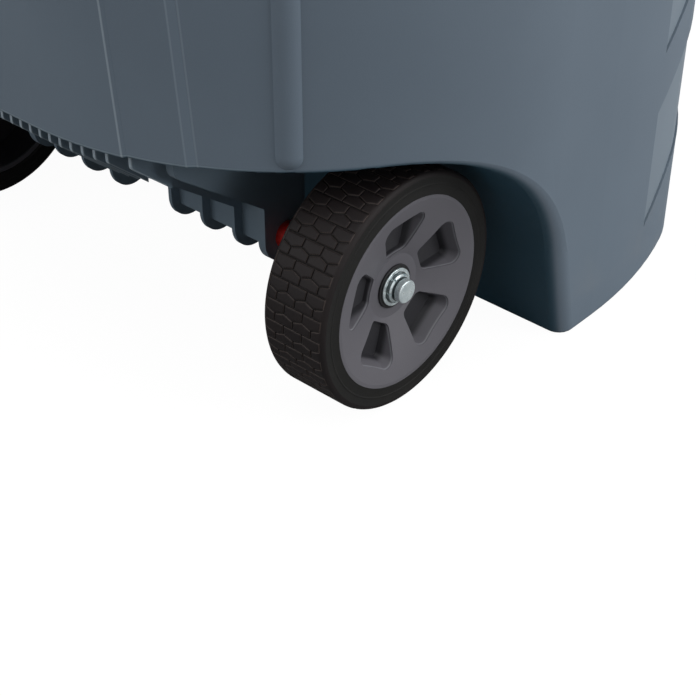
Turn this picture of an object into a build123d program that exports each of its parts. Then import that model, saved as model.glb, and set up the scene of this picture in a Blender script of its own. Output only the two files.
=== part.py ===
from build123d import *
import os
from math import cos, radians, sin, sqrt, tan

# Deck storage box on two wheels, in millimetres.
# X runs along the axle, Y from the axle towards the feet, Z up from the ground.

# Tub: plan sizes are taken at the ground, and the walls lean outward by the draft.
TUB_HALF_WIDTH = 291.3
WHEEL_SIDE = 137.3
TUB_HEIGHT = 560.0
DRAFT = 0.5
WHEEL_CORNER_R = 247.3
SIDE_BOW_FROM = 170.0
SIDE_BOW_R = 400.0
SIDE_BOW_TURN = 19.0
FOOT_CORNER_R = 110.0
WALL = 4.0
FLOOR = 6.0
SILL_R = 2.5
ARCH_R = 13.0
FOOT_R = 4.0
ARCH_STATIONS = 12
ARCH_LEAD = 12.0
ARCH_OVERCUT = 6.0
ARCH_TRIM = 0.04

# Wheel space under the tub: flat roof, then a round arch and a leaning wall down to the feet.
WELL_CLEARANCE = 21.0
WELL_Y = -33.0
WELL_R = 153.0
WELL_LEAN = 12.0

# Stepped panels and corner bead on the wheel side, angles from straight ahead.
PANEL_STEP = 2.0
INNER_STEP_ANGLE = 17.0
INNER_STEP_HALF = 0.3
OUTER_STEP_ANGLE = 27.7
OUTER_STEP_HALF = 0.8
STEP_TAPER = 0.0135
PANEL_ROUNDING_STEPS = 4
PANEL_SINK = 0.2
BEAD_ANGLE = 42.1
BEAD_R = 11.5
BEAD_PROUD = 4.0
BEAD_LIFT = 12.0

# Shallow facets on the foot-side corners, with slanted ends.
FACET_DEPTH = 1.8
FACET_Y = 245.0
FACET_WIDTH = 95.0
FACET_SLANT = 33.0
FACET_SPANS = ((44.0, 144.0), (193.0, 400.0))

# Rim of the tub and the lip that hangs from it.
RIM_OUT = 14.0
RIM_T = 4.0
LIP_T = 4.0
LIP_DROP = 40.0

# Lid
LID_GAP = 1.5
LID_WALL = 4.0
LID_SEAT_GAP = 0.3
SKIRT_DROP = 19.0
LID_RISE = 32.0
LID_EDGE_R = 22.0
CROWN_INSET = 50.0
CROWN_SLOPE = 12.0
CROWN_RISE = 8.0
SEAT_RIB_T = 4.0
SEAT_RIB_INSET = 3.0
LID_RIB_T = 3.0
LID_RIB_DROP = 16.0
LID_RIB_X = (-180.0, -60.0, 60.0, 180.0)
LID_RIB_Y = (-20.0, 100.0, 220.0)

# Hinges
HINGE_X = 85.0
HINGE_DROP = 29.0
HINGE_OUT = 10.0
KNUCKLE_R = 7.0
KNUCKLE_HALF = 25.0
KNUCKLE_MIDDLE = 12.0
KNUCKLE_GAP = 0.4
HINGE_REACH = 60.0
HINGE_PIN_R = 3.0
HINGE_FIT = 0.05
LEAF_HALF = 41.0
LEAF_T = 4.0
LEAF_HEIGHT = 18.0
LEAF_LIFT = 3.0
LID_LEAF_HEIGHT = 22.0
ARM_T = 8.0

# Wheels and axle
WHEEL_R = 89.0
TYRE_WIDTH = 54.0
WHEEL_OUTER_X = 250.0
RIM_R = 71.7
TYRE_FIT = 0.1
SHOULDER_R = 4.0
GROOVE_WIDTH = 1.4
GROOVE_DEPTH = 1.7
GROOVE_COUNT = 35
GROOVE_LENGTH = 46.0
GROOVE_PHASE = 1.9
RIM_BARREL_T = 5.5
RIM_BARREL_WIDTH = 51.0
HUB_FACE_IN = 14.0
HUB_FACE_R = 24.0
HUB_R = 20.0
HUB_LENGTH = 46.0
DISH_MID_IN = 5.4
DISH_MID_R = 48.0
RIM_LAND = 2.5
WEB_BACK_HUB = 30.0
WEB_BACK_BARREL = 20.0
POCKET_COUNT = 5
POCKET_PHASE = 91.3
POCKET_INNER = 22.4
POCKET_INNER_HALF = 12.9
POCKET_OUTER = 58.5
POCKET_OUTER_HALF = 25.3
POCKET_CORNER_R = 9.0
POCKET_FLOOR_IN = 17.0
POCKET_TAPER = 20.0

AXLE_R = 6.35
AXLE_END_GAP = 0.2
AXLE_CHAMFER = 1.0
AXLE_FIT = 0.05
HUB_BUSH_T = 3.0
HUB_BUSH_FLANGE_R = 18.5
HUB_BUSH_FLANGE_T = 1.4
WASHER_R = 14.0
WASHER_T = 2.0
WASHER_PLAY = 0.3
NUT_R = 11.0
NUT_T = 2.4
NUT_CHAMFER = 1.2
NUT_SLOT_COUNT = 6
NUT_SLOT_WIDTH = 1.6
NUT_SLOT_DEPTH = 1.4
NUT_WALL = 1.0
CAP_NECK_R = 6.9
CAP_NECK_LENGTH = 1.3
CAP_R = 8.6
CAP_LENGTH = 5.1
CAP_EDGE_R = 0.9

# Axle carrier: comb fins, axle ribs with round lobes, and thick end plates.
FLANGE_T = 4.0
FLANGE_FRONT = -112.0
FIN_PITCH = 10.0
FIN_COUNT = 21
END_FIN_X = 117.3
FIN_T = 2.4
FIN_SETBACK = 1.5
FIN_BACK = -98.0
END_FIN_BACK = -92.5
FIN_FALL = 9.5
FIN_ANGLE = 40.4
FIN_CORNER_R = 4.5
RIB_PITCH = 33.5
RIB_COUNT = 3
RIB_T = 3.2
RIB_FRONT = -113.0
RIB_FALL = 23.3
END_PLATE_X = 126.0
END_PLATE_T = 7.0
END_PLATE_FRONT = -103.5
END_PLATE_FALL = 20.2
GUSSET_ANGLE = 36.2
GUSSET_CORNER_R = 11.0
LOBE_R = 21.0
RIB_BACK_BELOW = 16.0
PANEL_FRONT = -13.0
PANEL_T = 3.2
PANEL_BELOW_AXLE = 7.0
PANEL_BELOW = 19.0
BUSH_WALL = 4.0
BUSH_REACH = 15.0
BUSH_FLANGE_R = 18.0
BUSH_FLANGE_T = 2.0
SPACER_R = 13.0

# Pull handle
HANDLE_Z = 440.0
HANDLE_X = 110.0
BRACKET_WIDTH = 46.0
BRACKET_HEIGHT = 50.0
BRACKET_T = 5.0
PIVOT_OUT = 17.0
CHEEK_T = 5.0
CHEEK_R = 10.0
EYE_HALF = 9.0
EYE_R = 9.5
EYE_PLAY = 0.5
HANDLE_PIN_R = 4.0
HANDLE_PIN_HEAD_R = 6.0
HANDLE_PIN_HEAD_T = 2.5
BAIL_R = 8.0
BAIL_DROP = 85.0
BAIL_BEND_R = 30.0
GRIP_R = 14.0
GRIP_LENGTH = 130.0
GRIP_RING_COUNT = 12
GRIP_RING_PITCH = 10.0
GRIP_RING_WIDTH = 3.0
GRIP_RING_DEPTH = 1.0
SLEEVE_FIT = 0.1

# Padlock plates
PLATE_HALF = 18.0
PLATE_T = 2.5
LOCK_HOLE_R = 5.0
LOCK_HOLE_BELOW = 11.0
HASP_TAIL = 43.0
HASP_HEIGHT = 71.0
STAPLE_HEIGHT = 42.0
STAPLE_GAP = 1.0

# Screws
SCREW_R = 2.0
SCREW_HEAD_R = 4.0
SCREW_HEAD_T = 2.2
SCREW_FIT = 0.05
SCREW_INSET = 7.0
SEAT_FIT = 0.05

TOUCH = 0.1
WELL_TOP = 2 * WHEEL_R + WELL_CLEARANCE
RIB_BACK_TOP = WELL_TOP - RIB_BACK_BELOW
PANEL_TOP = WELL_TOP - PANEL_BELOW
CORNER_X = TUB_HALF_WIDTH - WHEEL_CORNER_R
CORNER_Y = WHEEL_CORNER_R - WHEEL_SIDE
BOW_X = TUB_HALF_WIDTH - SIDE_BOW_R
REAR_X = BOW_X + (SIDE_BOW_R - FOOT_CORNER_R) * cos(radians(SIDE_BOW_TURN))
REAR_Y = SIDE_BOW_FROM + (SIDE_BOW_R - FOOT_CORNER_R) * sin(radians(SIDE_BOW_TURN))
FOOT_SIDE = REAR_Y + FOOT_CORNER_R
MARGIN = 60.0


def spread(z):
    """How far the leaning wall has moved outward at height z."""
    return z * tan(radians(DRAFT))


TOP_SPREAD = spread(TUB_HEIGHT)
LIP_GROW = TOP_SPREAD + RIM_OUT
LID_GROW = LIP_GROW + LID_GAP + LID_WALL
LIP_LOW = TUB_HEIGHT - LIP_DROP
SKIRT_LOW = TUB_HEIGHT - SKIRT_DROP
LID_TOP = TUB_HEIGHT + LID_RISE
SEAT_Z = TUB_HEIGHT + LID_SEAT_GAP
HINGE_Y = -WHEEL_SIDE - LID_GROW - HINGE_OUT
HINGE_Z = TUB_HEIGHT - HINGE_DROP
HUB_INNER_X = WHEEL_OUTER_X - HUB_FACE_IN - HUB_LENGTH
BUSH_OUTER_R = AXLE_R + AXLE_FIT + BUSH_WALL
HUB_BUSH_R = AXLE_R + AXLE_FIT + HUB_BUSH_T
END_PLATE_OUT = END_PLATE_X + END_PLATE_T
BUSH_FLANGE_X = END_PLATE_OUT + BUSH_REACH
BUSH_END_X = BUSH_FLANGE_X + BUSH_FLANGE_T
HUB_FACE_X = WHEEL_OUTER_X - HUB_FACE_IN + HUB_BUSH_FLANGE_T
WASHER_X = HUB_FACE_X + WASHER_PLAY
NUT_X = WASHER_X + WASHER_T
NUT_END_X = NUT_X + NUT_T
WALL_NORMAL = Vector(0, cos(radians(DRAFT)), -sin(radians(DRAFT)))
HANDLE_WALL = Vector(0, FOOT_SIDE + spread(HANDLE_Z), HANDLE_Z)
PIVOT = HANDLE_WALL + WALL_NORMAL * PIVOT_OUT
LOCK_Z = LIP_LOW - LOCK_HOLE_BELOW


def mirrored(shape):
    """The same shape on the other side of the middle plane."""
    return mirror(shape, about=Plane.YZ)


def both_sides(shape):
    """A shape together with its mirror image."""
    return Part() + [shape, mirrored(shape)]


def symmetric_face(middle, right):
    """Face from edges that cross the middle plane and edges of the right half."""
    left = [edge for piece in right for edge in mirrored(piece).edges()]
    return make_face([*middle, *right, *left])


def corner_point(radius, angle):
    """Point of the wheel-side corner, its angle measured from straight ahead."""
    turn = radians(angle)
    return (CORNER_X + radius * sin(turn), CORNER_Y - radius * cos(turn))


def plan(grow, z):
    """Outline of the tub moved outward by grow, as a face at height z."""
    front, rear = -WHEEL_SIDE - grow, FOOT_SIDE + grow
    side = TUB_HALF_WIDTH + grow
    middle = [Line((-CORNER_X, front), (CORNER_X, front)), Line((-REAR_X, rear), (REAR_X, rear))]
    right = [
        CenterArc((CORNER_X, CORNER_Y), WHEEL_CORNER_R + grow, -90, 90),
        Line((side, CORNER_Y), (side, SIDE_BOW_FROM)),
        CenterArc((BOW_X, SIDE_BOW_FROM), SIDE_BOW_R + grow, 0, SIDE_BOW_TURN),
        CenterArc((REAR_X, REAR_Y), FOOT_CORNER_R + grow, SIDE_BOW_TURN, 90 - SIDE_BOW_TURN),
    ]
    return Pos(0, 0, z) * symmetric_face(middle, right)


def slab(grow, low, high):
    """Straight-sided block of the tub's outline between two heights."""
    return extrude(plan(grow, low), amount=high - low)


def leaning(grow, low, high):
    """Block of the tub's outline whose walls lean by the draft."""
    return loft([plan(spread(low) + grow, low), plan(spread(high) + grow, high)], ruled=True)


def band(grow, thickness, half_width, middle_x, low, high):
    """Curved plate that follows the outline on the wheel side."""
    ring = slab(grow + thickness, low, high) - slab(grow, low, high)
    depth = WHEEL_SIDE + FOOT_SIDE
    keep = Pos(middle_x, -depth / 2, (low + high) / 2) * Box(2 * half_width, depth, high - low)
    return ring & keep


def leg_wall_y(z):
    """Y of the wheel space's leaning wall at height z."""
    lean = radians(WELL_LEAN)
    return WELL_Y + WELL_R / cos(lean) + (WELL_TOP - WELL_R - z) * tan(lean)


def well_profile(offset):
    """Side view of the wheel space, grown upward and towards the feet by offset."""
    far, low = -WHEEL_SIDE - MARGIN, -MARGIN
    top, centre_z, lean = WELL_TOP + offset, WELL_TOP - WELL_R, radians(WELL_LEAN)
    radius = WELL_R + offset
    wall_top = (WELL_Y + radius * cos(lean), centre_z + radius * sin(lean))
    wall_low = (leg_wall_y(low) + offset / cos(lean), low)
    edges = [
        Line((far, top), (WELL_Y, top)),
        CenterArc((WELL_Y, centre_z), radius, WELL_LEAN, 90 - WELL_LEAN),
        Line(wall_top, wall_low),
        Line(wall_low, (far, low)),
        Line((far, low), (far, top)),
    ]
    return make_face(edges)


def well(offset):
    """Wheel space across the whole width."""
    return extrude(Plane.YZ * well_profile(offset), amount=TUB_HALF_WIDTH + MARGIN, both=True)


def screw(place, direction, length):
    """Round-headed screw whose head sits at place and faces along direction."""
    head = Cylinder(SCREW_HEAD_R, SCREW_HEAD_T, align=(Align.CENTER, Align.CENTER, Align.MIN))
    head = fillet(head.edges().sort_by(Axis.Z)[-1], SCREW_HEAD_T / 2)
    shank = Cylinder(SCREW_R, length, align=(Align.CENTER, Align.CENTER, Align.MAX))
    return Plane(origin=place, z_dir=direction) * (head + shank)


def screw_hole(place, direction, length):
    """Hole for such a screw, running in from place."""
    hole = Cylinder(SCREW_R + SCREW_FIT, length, align=(Align.CENTER, Align.CENTER, Align.MAX))
    return Plane(origin=place, z_dir=direction) * hole


def along_x(radius, low, high, y, z):
    """Round bar along X."""
    bar = Cylinder(radius, high - low, align=(Align.CENTER, Align.CENTER, Align.MIN))
    return Pos(low, y, z) * (Rot(0, 90, 0) * bar)


def turned(points_and_edges):
    """Solid turned about the axle line from edges drawn as (distance along X, radius)."""
    face = Plane.XZ * make_face(points_and_edges)
    return Pos(0, 0, WHEEL_R) * revolve(face, axis=Axis.X)


def tube(inner, outer, low, high):
    """Sleeve on the axle line."""
    return along_x(outer, low, high, 0, WHEEL_R) - along_x(inner, low, high, 0, WHEEL_R)


def lip_screw_places(grow):
    """Places and directions of a hinge leaf's screws on the curved wheel side."""
    radius = WHEEL_CORNER_R + grow + SEAT_FIT + LEAF_T
    reach = LEAF_HALF - SCREW_INSET
    places = []
    for x in (HINGE_X - reach, HINGE_X + reach):
        beyond = max(x - CORNER_X, 0)
        y = CORNER_Y - sqrt(radius**2 - beyond**2)
        places.append((x, y, Vector(beyond, y - CORNER_Y, 0).normalized()))
    return places


def hinge_screws(grow, z, shape):
    """Screws or holes of both hinges at one height."""
    right = [shape((x, y, z), way, LEAF_T + WALL) for x, y, way in lip_screw_places(grow)]
    return both_sides(Part() + right)


def raised_panels():
    """Stepped panels that stand proud of the wheel side."""

    def section(z, inset):
        wall_r = WHEEL_CORNER_R + spread(z) - inset
        base, sunk = wall_r - PANEL_SINK, wall_r - WALL - SILL_R + inset
        taper = STEP_TAPER * (z - WELL_TOP)
        inner, outer = INNER_STEP_ANGLE - taper, OUTER_STEP_ANGLE - taper
        inner_from, inner_to = inner - INNER_STEP_HALF, inner + INNER_STEP_HALF
        outer_from, outer_to = outer - OUTER_STEP_HALF, outer + OUTER_STEP_HALF
        middle_r, inner_r = wall_r + PANEL_STEP, wall_r + 2 * PANEL_STEP
        outer_y, inner_y = CORNER_Y - inner_r, CORNER_Y - sunk
        centre = (CORNER_X, CORNER_Y)
        middle = [
            Line((-CORNER_X, outer_y), (CORNER_X, outer_y)),
            Line((-CORNER_X, inner_y), (CORNER_X, inner_y)),
        ]
        right = [
            CenterArc(centre, inner_r, -90, inner_from),
            Line(corner_point(inner_r, inner_from), corner_point(middle_r, inner_to)),
            CenterArc(centre, middle_r, inner_to - 90, outer_from - inner_to),
            Line(corner_point(middle_r, outer_from), corner_point(base, outer_to)),
            Line(corner_point(base, outer_to), corner_point(sunk, outer_to)),
            CenterArc(centre, sunk, -90, outer_to),
        ]
        return Pos(0, 0, z) * symmetric_face(middle, right)

    turns = [radians(90 * i / PANEL_ROUNDING_STEPS) for i in range(PANEL_ROUNDING_STEPS + 1)]
    rounding = [section(WELL_TOP + SILL_R * (1 - cos(t)), SILL_R * (1 - sin(t))) for t in turns]
    return loft([*rounding, section(LIP_LOW + RIM_T, 0)], ruled=True)


def bead():
    """Upright half-round bead on a wheel-side corner, with round ends."""

    def axis_point(z):
        radius = WHEEL_CORNER_R + spread(z) + BEAD_PROUD - BEAD_R
        return Vector(*corner_point(radius, BEAD_ANGLE), z)

    low, high = axis_point(WELL_TOP + BEAD_LIFT), axis_point(LIP_LOW)
    rod = Cylinder(BEAD_R, (high - low).length, align=(Align.CENTER, Align.CENTER, Align.MIN))
    return Plane(origin=low, z_dir=high - low) * rod + Pos(low) * Sphere(BEAD_R)


def facets():
    """Shallow recesses on a foot-side corner, with slanted ends."""
    tilt = Vector(0, -sin(radians(FACET_SLANT)), cos(radians(FACET_SLANT)))
    cuts = Part()
    for low, high in FACET_SPANS:
        bottom, top = low - MARGIN, high + 2 * MARGIN
        reach = TUB_HALF_WIDTH + MARGIN
        middle = (reach / 2, FACET_Y + FACET_WIDTH / 2, (bottom + top) / 2)
        block = Pos(middle) * Box(reach, FACET_WIDTH, top - bottom) - leaning(-FACET_DEPTH, bottom, top)
        block = split(block, bisect_by=Plane(origin=(0, FACET_Y, low), z_dir=tilt), keep=Keep.TOP)
        cuts += split(block, bisect_by=Plane(origin=(0, FACET_Y, high), z_dir=tilt), keep=Keep.BOTTOM)
    return cuts


def arch_round():
    """Cutter for the arch's outer edge, whose rounding grows from the sill to the leg."""
    sections = []
    for index in range(-1, ARCH_STATIONS + 2):
        share = min(max(index / ARCH_STATIONS, 0), 1)
        radius = SILL_R + (ARCH_R - SILL_R) * share
        turn = radians(90 - (90 - WELL_LEAN) * share)
        away = Vector(0, cos(turn), sin(turn))
        lead = ARCH_LEAD * (min(index, 0) + max(index - ARCH_STATIONS, 0))
        middle = Vector(0, WELL_Y, WELL_TOP - WELL_R) + away * (WELL_R + radius)
        middle += Vector(0, sin(turn), -cos(turn)) * lead
        grow = spread(middle.Z) - radius
        before = max(CORNER_Y - middle.Y, 0)
        reach = WHEEL_CORNER_R + grow
        across = sqrt(reach**2 - before**2)
        out = Vector(across, -before, 0) / reach
        ball = Vector(CORNER_X + across, middle.Y, middle.Z)
        crest = (out - away) / (1 - out.dot(away))
        ball += crest * ARCH_TRIM
        start, end = ball + out * radius, ball - away * radius
        arc = ThreePointArc(start, ball + crest.normalized() * radius, end)
        peak = ball + crest * (radius + ARCH_OVERCUT)
        tent = Polyline(end, end - away * ARCH_OVERCUT, peak, start + out * ARCH_OVERCUT, start)
        sections.append(make_face([*arc.edges(), *tent.edges()]))
    return loft(sections)


def tub_body():
    """Solid tub with its wheel space: crisp sill, arch with growing rounding, rounded leg."""
    block = leaning(0, 0, TUB_HEIGHT) - well(0)
    sill_cut = Plane(origin=(0, WELL_Y, 0), z_dir=(0, -1, 0))
    front = split(block, bisect_by=sill_cut, keep=Keep.TOP)
    rear = split(block, bisect_by=sill_cut, keep=Keep.BOTTOM)
    lean = radians(WELL_LEAN)
    leg_cut = Plane(origin=(0, WELL_Y, WELL_TOP - WELL_R), z_dir=(0, -sin(lean), cos(lean)))
    arch = split(rear, bisect_by=leg_cut, keep=Keep.TOP)
    leg = split(rear, bisect_by=leg_cut, keep=Keep.BOTTOM)
    sill = front.faces().sort_by(Axis.Z)[0].edges()
    front = fillet([edge for edge in sill if (edge @ 0.5).Y < WELL_Y - TOUCH], SILL_R)
    middles = [(edge, edge @ 0.5) for edge in leg.edges()]
    upright = [edge for edge, at in middles if abs(at.X) > TOUCH and abs(at.Y - leg_wall_y(at.Z)) < TOUCH]
    leg = fillet(upright, ARCH_R)
    leg = fillet(leg.faces().sort_by(Axis.Z)[0].edges(), FOOT_R)
    return front + (arch - both_sides(arch_round())) + leg


def tub_hollow():
    """Inside of the tub, with one rounding along the wheel space."""
    block = leaning(-WALL, FLOOR, TUB_HEIGHT + RIM_T) - well(WALL)

    def beside_well(edge):
        start, middle, end = edge @ 0, edge @ 0.5, edge @ 1
        level = FLOOR + TOUCH < middle.Z < WELL_TOP + WALL + TOUCH
        across = abs(start.Z - end.Z) < TOUCH and abs(start.Y - end.Y) < TOUCH
        return level and (not across or middle.Y < WELL_Y - TOUCH)

    return fillet([edge for edge in block.edges() if beside_well(edge)], ARCH_R - WALL)


def make_tub():
    """Moulded tub: stepped floor, wheel space, panels, beads, rim and lip."""
    body, hollow = tub_body(), tub_hollow()
    rim = slab(LIP_GROW, LIP_LOW, TUB_HEIGHT) - slab(LIP_GROW - LIP_T, LIP_LOW, TUB_HEIGHT - RIM_T)
    body = body + raised_panels() + both_sides(bead()) + rim - hollow - both_sides(facets())
    holes = hinge_screws(LIP_GROW, HINGE_Z, screw_hole)
    holes += both_sides(Part() + [screw_hole(*spot) for spot in carrier_screw_spots()])
    holes += both_sides(Part() + [screw_hole(*spot) for spot in handle_screw_spots()])
    holes += both_sides(screw_hole(*staple_screw_spot()))
    return body - holes


def make_lid():
    """Lid shell with crowned top, seat rib and stiffening ribs."""
    outer = slab(LID_GROW, SKIRT_LOW, LID_TOP)
    outer = fillet(outer.faces().sort_by(Axis.Z)[-1].edges(), LID_EDGE_R)
    crown_low, crown_high = LID_GROW - CROWN_INSET, LID_GROW - CROWN_INSET - CROWN_SLOPE
    outer += loft([plan(crown_low, LID_TOP), plan(crown_high, LID_TOP + CROWN_RISE)], ruled=True)
    ceiling = LID_TOP - LID_WALL
    inner = slab(LID_GROW - LID_WALL, SKIRT_LOW, ceiling)
    inner = fillet(inner.faces().sort_by(Axis.Z)[-1].edges(), LID_EDGE_R - LID_WALL)
    inner += loft(
        [plan(crown_low - LID_WALL, ceiling), plan(crown_high - LID_WALL, ceiling + CROWN_RISE)], ruled=True
    )
    rib_out = LIP_GROW - SEAT_RIB_INSET
    seat = slab(rib_out, SEAT_Z, LID_TOP) - slab(rib_out - SEAT_RIB_T, SEAT_Z, LID_TOP)
    height = LID_RIB_DROP + CROWN_RISE
    level = ceiling - LID_RIB_DROP + height / 2
    span = 2 * (TUB_HALF_WIDTH + LID_GROW)
    ribs = Part() + [Pos(x, 0, level) * Box(LID_RIB_T, 2 * span, height) for x in LID_RIB_X]
    ribs += [Pos(0, y, level) * Box(span, LID_RIB_T, height) for y in LID_RIB_Y]
    ribs = ribs & slab(rib_out - SEAT_RIB_T / 2, SEAT_Z, LID_TOP + CROWN_RISE)
    lid = outer - inner + ((seat + ribs) & outer)
    holes = hinge_screws(LID_GROW, lid_screw_z(), screw_hole) + both_sides(screw_hole(*hasp_screw_spot()))
    return lid - holes


def lid_screw_z():
    """Height of the screws in the lid's hinge leaves."""
    return SKIRT_LOW + LEAF_LIFT + LID_LEAF_HEIGHT / 2


def tub_leaf():
    """Hinge leaf on the tub's lip, with two knuckles."""
    low = HINGE_Z - LEAF_HEIGHT / 2
    plate = band(LIP_GROW + SEAT_FIT, LEAF_T, LEAF_HALF, HINGE_X, low, low + LEAF_HEIGHT)
    inside = slab(LIP_GROW + SEAT_FIT, low, low + LEAF_HEIGHT)
    leaf = plate
    width = KNUCKLE_HALF - KNUCKLE_MIDDLE
    for side in (-1, 1):
        x = HINGE_X + side * (KNUCKLE_MIDDLE + width / 2)
        arm = Pos(x, HINGE_Y + HINGE_REACH / 2, HINGE_Z) * Box(width, HINGE_REACH, ARM_T)
        leaf += (arm - inside) + along_x(KNUCKLE_R, x - width / 2, x + width / 2, HINGE_Y, HINGE_Z)
    pin_hole = along_x(HINGE_PIN_R, HINGE_X - LEAF_HALF, HINGE_X + LEAF_HALF, HINGE_Y, HINGE_Z)
    return leaf - pin_hole - hinge_screws(LIP_GROW, HINGE_Z, screw_hole)


def lid_leaf():
    """Hinge leaf on the lid's skirt, with the middle knuckle."""
    low = SKIRT_LOW + LEAF_LIFT
    leaf = band(LID_GROW + SEAT_FIT, LEAF_T, LEAF_HALF, HINGE_X, low, low + LID_LEAF_HEIGHT)
    inside = slab(LID_GROW + SEAT_FIT, low, low + LID_LEAF_HEIGHT)
    half = KNUCKLE_MIDDLE - KNUCKLE_GAP
    top = low + ARM_T
    shelf_y = HINGE_Y - ARM_T / 2 + HINGE_REACH / 2
    shelf = Pos(HINGE_X, shelf_y, low + ARM_T / 2) * Box(2 * half, HINGE_REACH, ARM_T)
    post = Pos(HINGE_X, HINGE_Y, (HINGE_Z + top) / 2) * Box(2 * half, ARM_T, top - HINGE_Z)
    knuckle = along_x(KNUCKLE_R, HINGE_X - half, HINGE_X + half, HINGE_Y, HINGE_Z)
    leaf += (shelf - inside) + post + knuckle
    bore = along_x(HINGE_PIN_R + HINGE_FIT, HINGE_X - LEAF_HALF, HINGE_X + LEAF_HALF, HINGE_Y, HINGE_Z)
    return leaf - bore - hinge_screws(LID_GROW, lid_screw_z(), screw_hole)


def hinge_pin():
    """Pin through the three knuckles."""
    return along_x(HINGE_PIN_R, HINGE_X - KNUCKLE_HALF, HINGE_X + KNUCKLE_HALF, HINGE_Y, HINGE_Z)


def make_rim():
    """Dished wheel rim with five tapered pockets, on the right side."""
    face_x = WHEEL_OUTER_X
    barrel_r = RIM_R - RIM_BARREL_T
    bore = HUB_BUSH_R
    hub_x, hub_end = face_x - HUB_FACE_IN, HUB_INNER_X
    dish = ThreePointArc(
        (face_x, RIM_R - RIM_LAND), (face_x - DISH_MID_IN, DISH_MID_R), (hub_x, HUB_FACE_R)
    )
    outline = [
        Line((face_x - RIM_BARREL_WIDTH, RIM_R), (face_x, RIM_R)),
        Line((face_x, RIM_R), (face_x, RIM_R - RIM_LAND)),
        dish,
        Line((hub_x, HUB_FACE_R), (hub_x, bore)),
        Line((hub_x, bore), (hub_end, bore)),
        Line((hub_end, bore), (hub_end, HUB_R)),
        Line((hub_end, HUB_R), (face_x - WEB_BACK_HUB, HUB_R)),
        Line((face_x - WEB_BACK_HUB, HUB_R), (face_x - WEB_BACK_BARREL, barrel_r)),
        Line((face_x - WEB_BACK_BARREL, barrel_r), (face_x - RIM_BARREL_WIDTH, barrel_r)),
        Line((face_x - RIM_BARREL_WIDTH, barrel_r), (face_x - RIM_BARREL_WIDTH, RIM_R)),
    ]
    rim = turned(outline)
    corners = [
        (POCKET_INNER, -POCKET_INNER_HALF),
        (POCKET_OUTER, -POCKET_OUTER_HALF),
        (POCKET_OUTER, POCKET_OUTER_HALF),
        (POCKET_INNER, POCKET_INNER_HALF),
    ]
    window = make_face(Polyline(*corners, close=True))
    window = fillet(window.vertices(), POCKET_CORNER_R)
    pocket = extrude(window, amount=-POCKET_FLOOR_IN, taper=POCKET_TAPER)
    for index in range(POCKET_COUNT):
        turn = POCKET_PHASE + index * 360 / POCKET_COUNT
        place = Plane(origin=(face_x, 0, WHEEL_R), x_dir=(0, 1, 0), z_dir=(1, 0, 0))
        rim -= place * (Rot(0, 0, turn) * pocket)
    return rim


def make_tyre():
    """Tyre with round shoulders and grooves across the tread, on the right side."""
    high, low = WHEEL_OUTER_X, WHEEL_OUTER_X - TYRE_WIDTH
    seat = RIM_R + TYRE_FIT
    section = make_face(Polyline((low, seat), (low, WHEEL_R), (high, WHEEL_R), (high, seat), close=True))
    section = fillet(section.vertices().group_by(Axis.Y)[-1], SHOULDER_R)
    tyre = revolve(Plane.XZ * section, axis=Axis.X)
    groove = Pos((low + high) / 2, -WHEEL_R, 0) * Box(GROOVE_LENGTH, 2 * GROOVE_DEPTH, GROOVE_WIDTH)
    turns = [GROOVE_PHASE + index * 360 / GROOVE_COUNT for index in range(GROOVE_COUNT)]
    return Pos(0, 0, WHEEL_R) * (tyre - [Rot(-turn, 0, 0) * groove for turn in turns])


def make_hub_bush():
    """Flanged hub bush that runs on the axle."""
    bore = AXLE_R + AXLE_FIT
    hub_x = WHEEL_OUTER_X - HUB_FACE_IN
    return tube(bore, HUB_BUSH_R, HUB_INNER_X, hub_x) + tube(bore, HUB_BUSH_FLANGE_R, hub_x, HUB_FACE_X)


def make_axle():
    """Plated rod from wheel to wheel with chamfered ends."""
    end = NUT_END_X - NUT_WALL - AXLE_END_GAP
    rod = along_x(AXLE_R, -end, end, 0, WHEEL_R)
    tips = rod.edges().filter_by(GeomType.CIRCLE)
    return chamfer(tips, AXLE_CHAMFER)


def make_washer():
    """Washer outside the hub."""
    return tube(AXLE_R, WASHER_R, WASHER_X, NUT_X)


def make_push_nut():
    """Slotted push nut closed by a necked cap over the axle's end."""
    nut = along_x(NUT_R, NUT_X, NUT_END_X, 0, WHEEL_R)
    nut = chamfer(nut.edges().filter_by(GeomType.CIRCLE).sort_by(Axis.X)[-1], NUT_CHAMFER)
    nut -= along_x(AXLE_R, NUT_X, NUT_END_X - NUT_WALL, 0, WHEEL_R)
    slot = Pos((NUT_X + NUT_END_X) / 2, NUT_R, 0) * Box(NUT_T, 2 * NUT_SLOT_DEPTH, NUT_SLOT_WIDTH)
    turns = [index * 360 / NUT_SLOT_COUNT for index in range(NUT_SLOT_COUNT)]
    nut -= Pos(0, 0, WHEEL_R) * (Part() + [Rot(turn, 0, 0) * slot for turn in turns])
    neck_end = NUT_END_X + CAP_NECK_LENGTH
    cap = along_x(CAP_R, neck_end, neck_end + CAP_LENGTH, 0, WHEEL_R)
    cap = fillet(cap.edges().filter_by(GeomType.CIRCLE), CAP_EDGE_R)
    return nut + along_x(CAP_NECK_R, NUT_END_X, neck_end, 0, WHEEL_R) + cap


def make_axle_bush():
    """Flanged bush that stands out of the carrier's end plate."""
    barrel = tube(AXLE_R, BUSH_OUTER_R, END_PLATE_X, BUSH_FLANGE_X)
    return barrel + tube(AXLE_R, BUSH_FLANGE_R, BUSH_FLANGE_X, BUSH_END_X)


def make_spacer():
    """Sleeve between the axle bush and the wheel hub."""
    return tube(AXLE_R, SPACER_R, BUSH_END_X, HUB_INNER_X - WASHER_PLAY)


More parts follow.
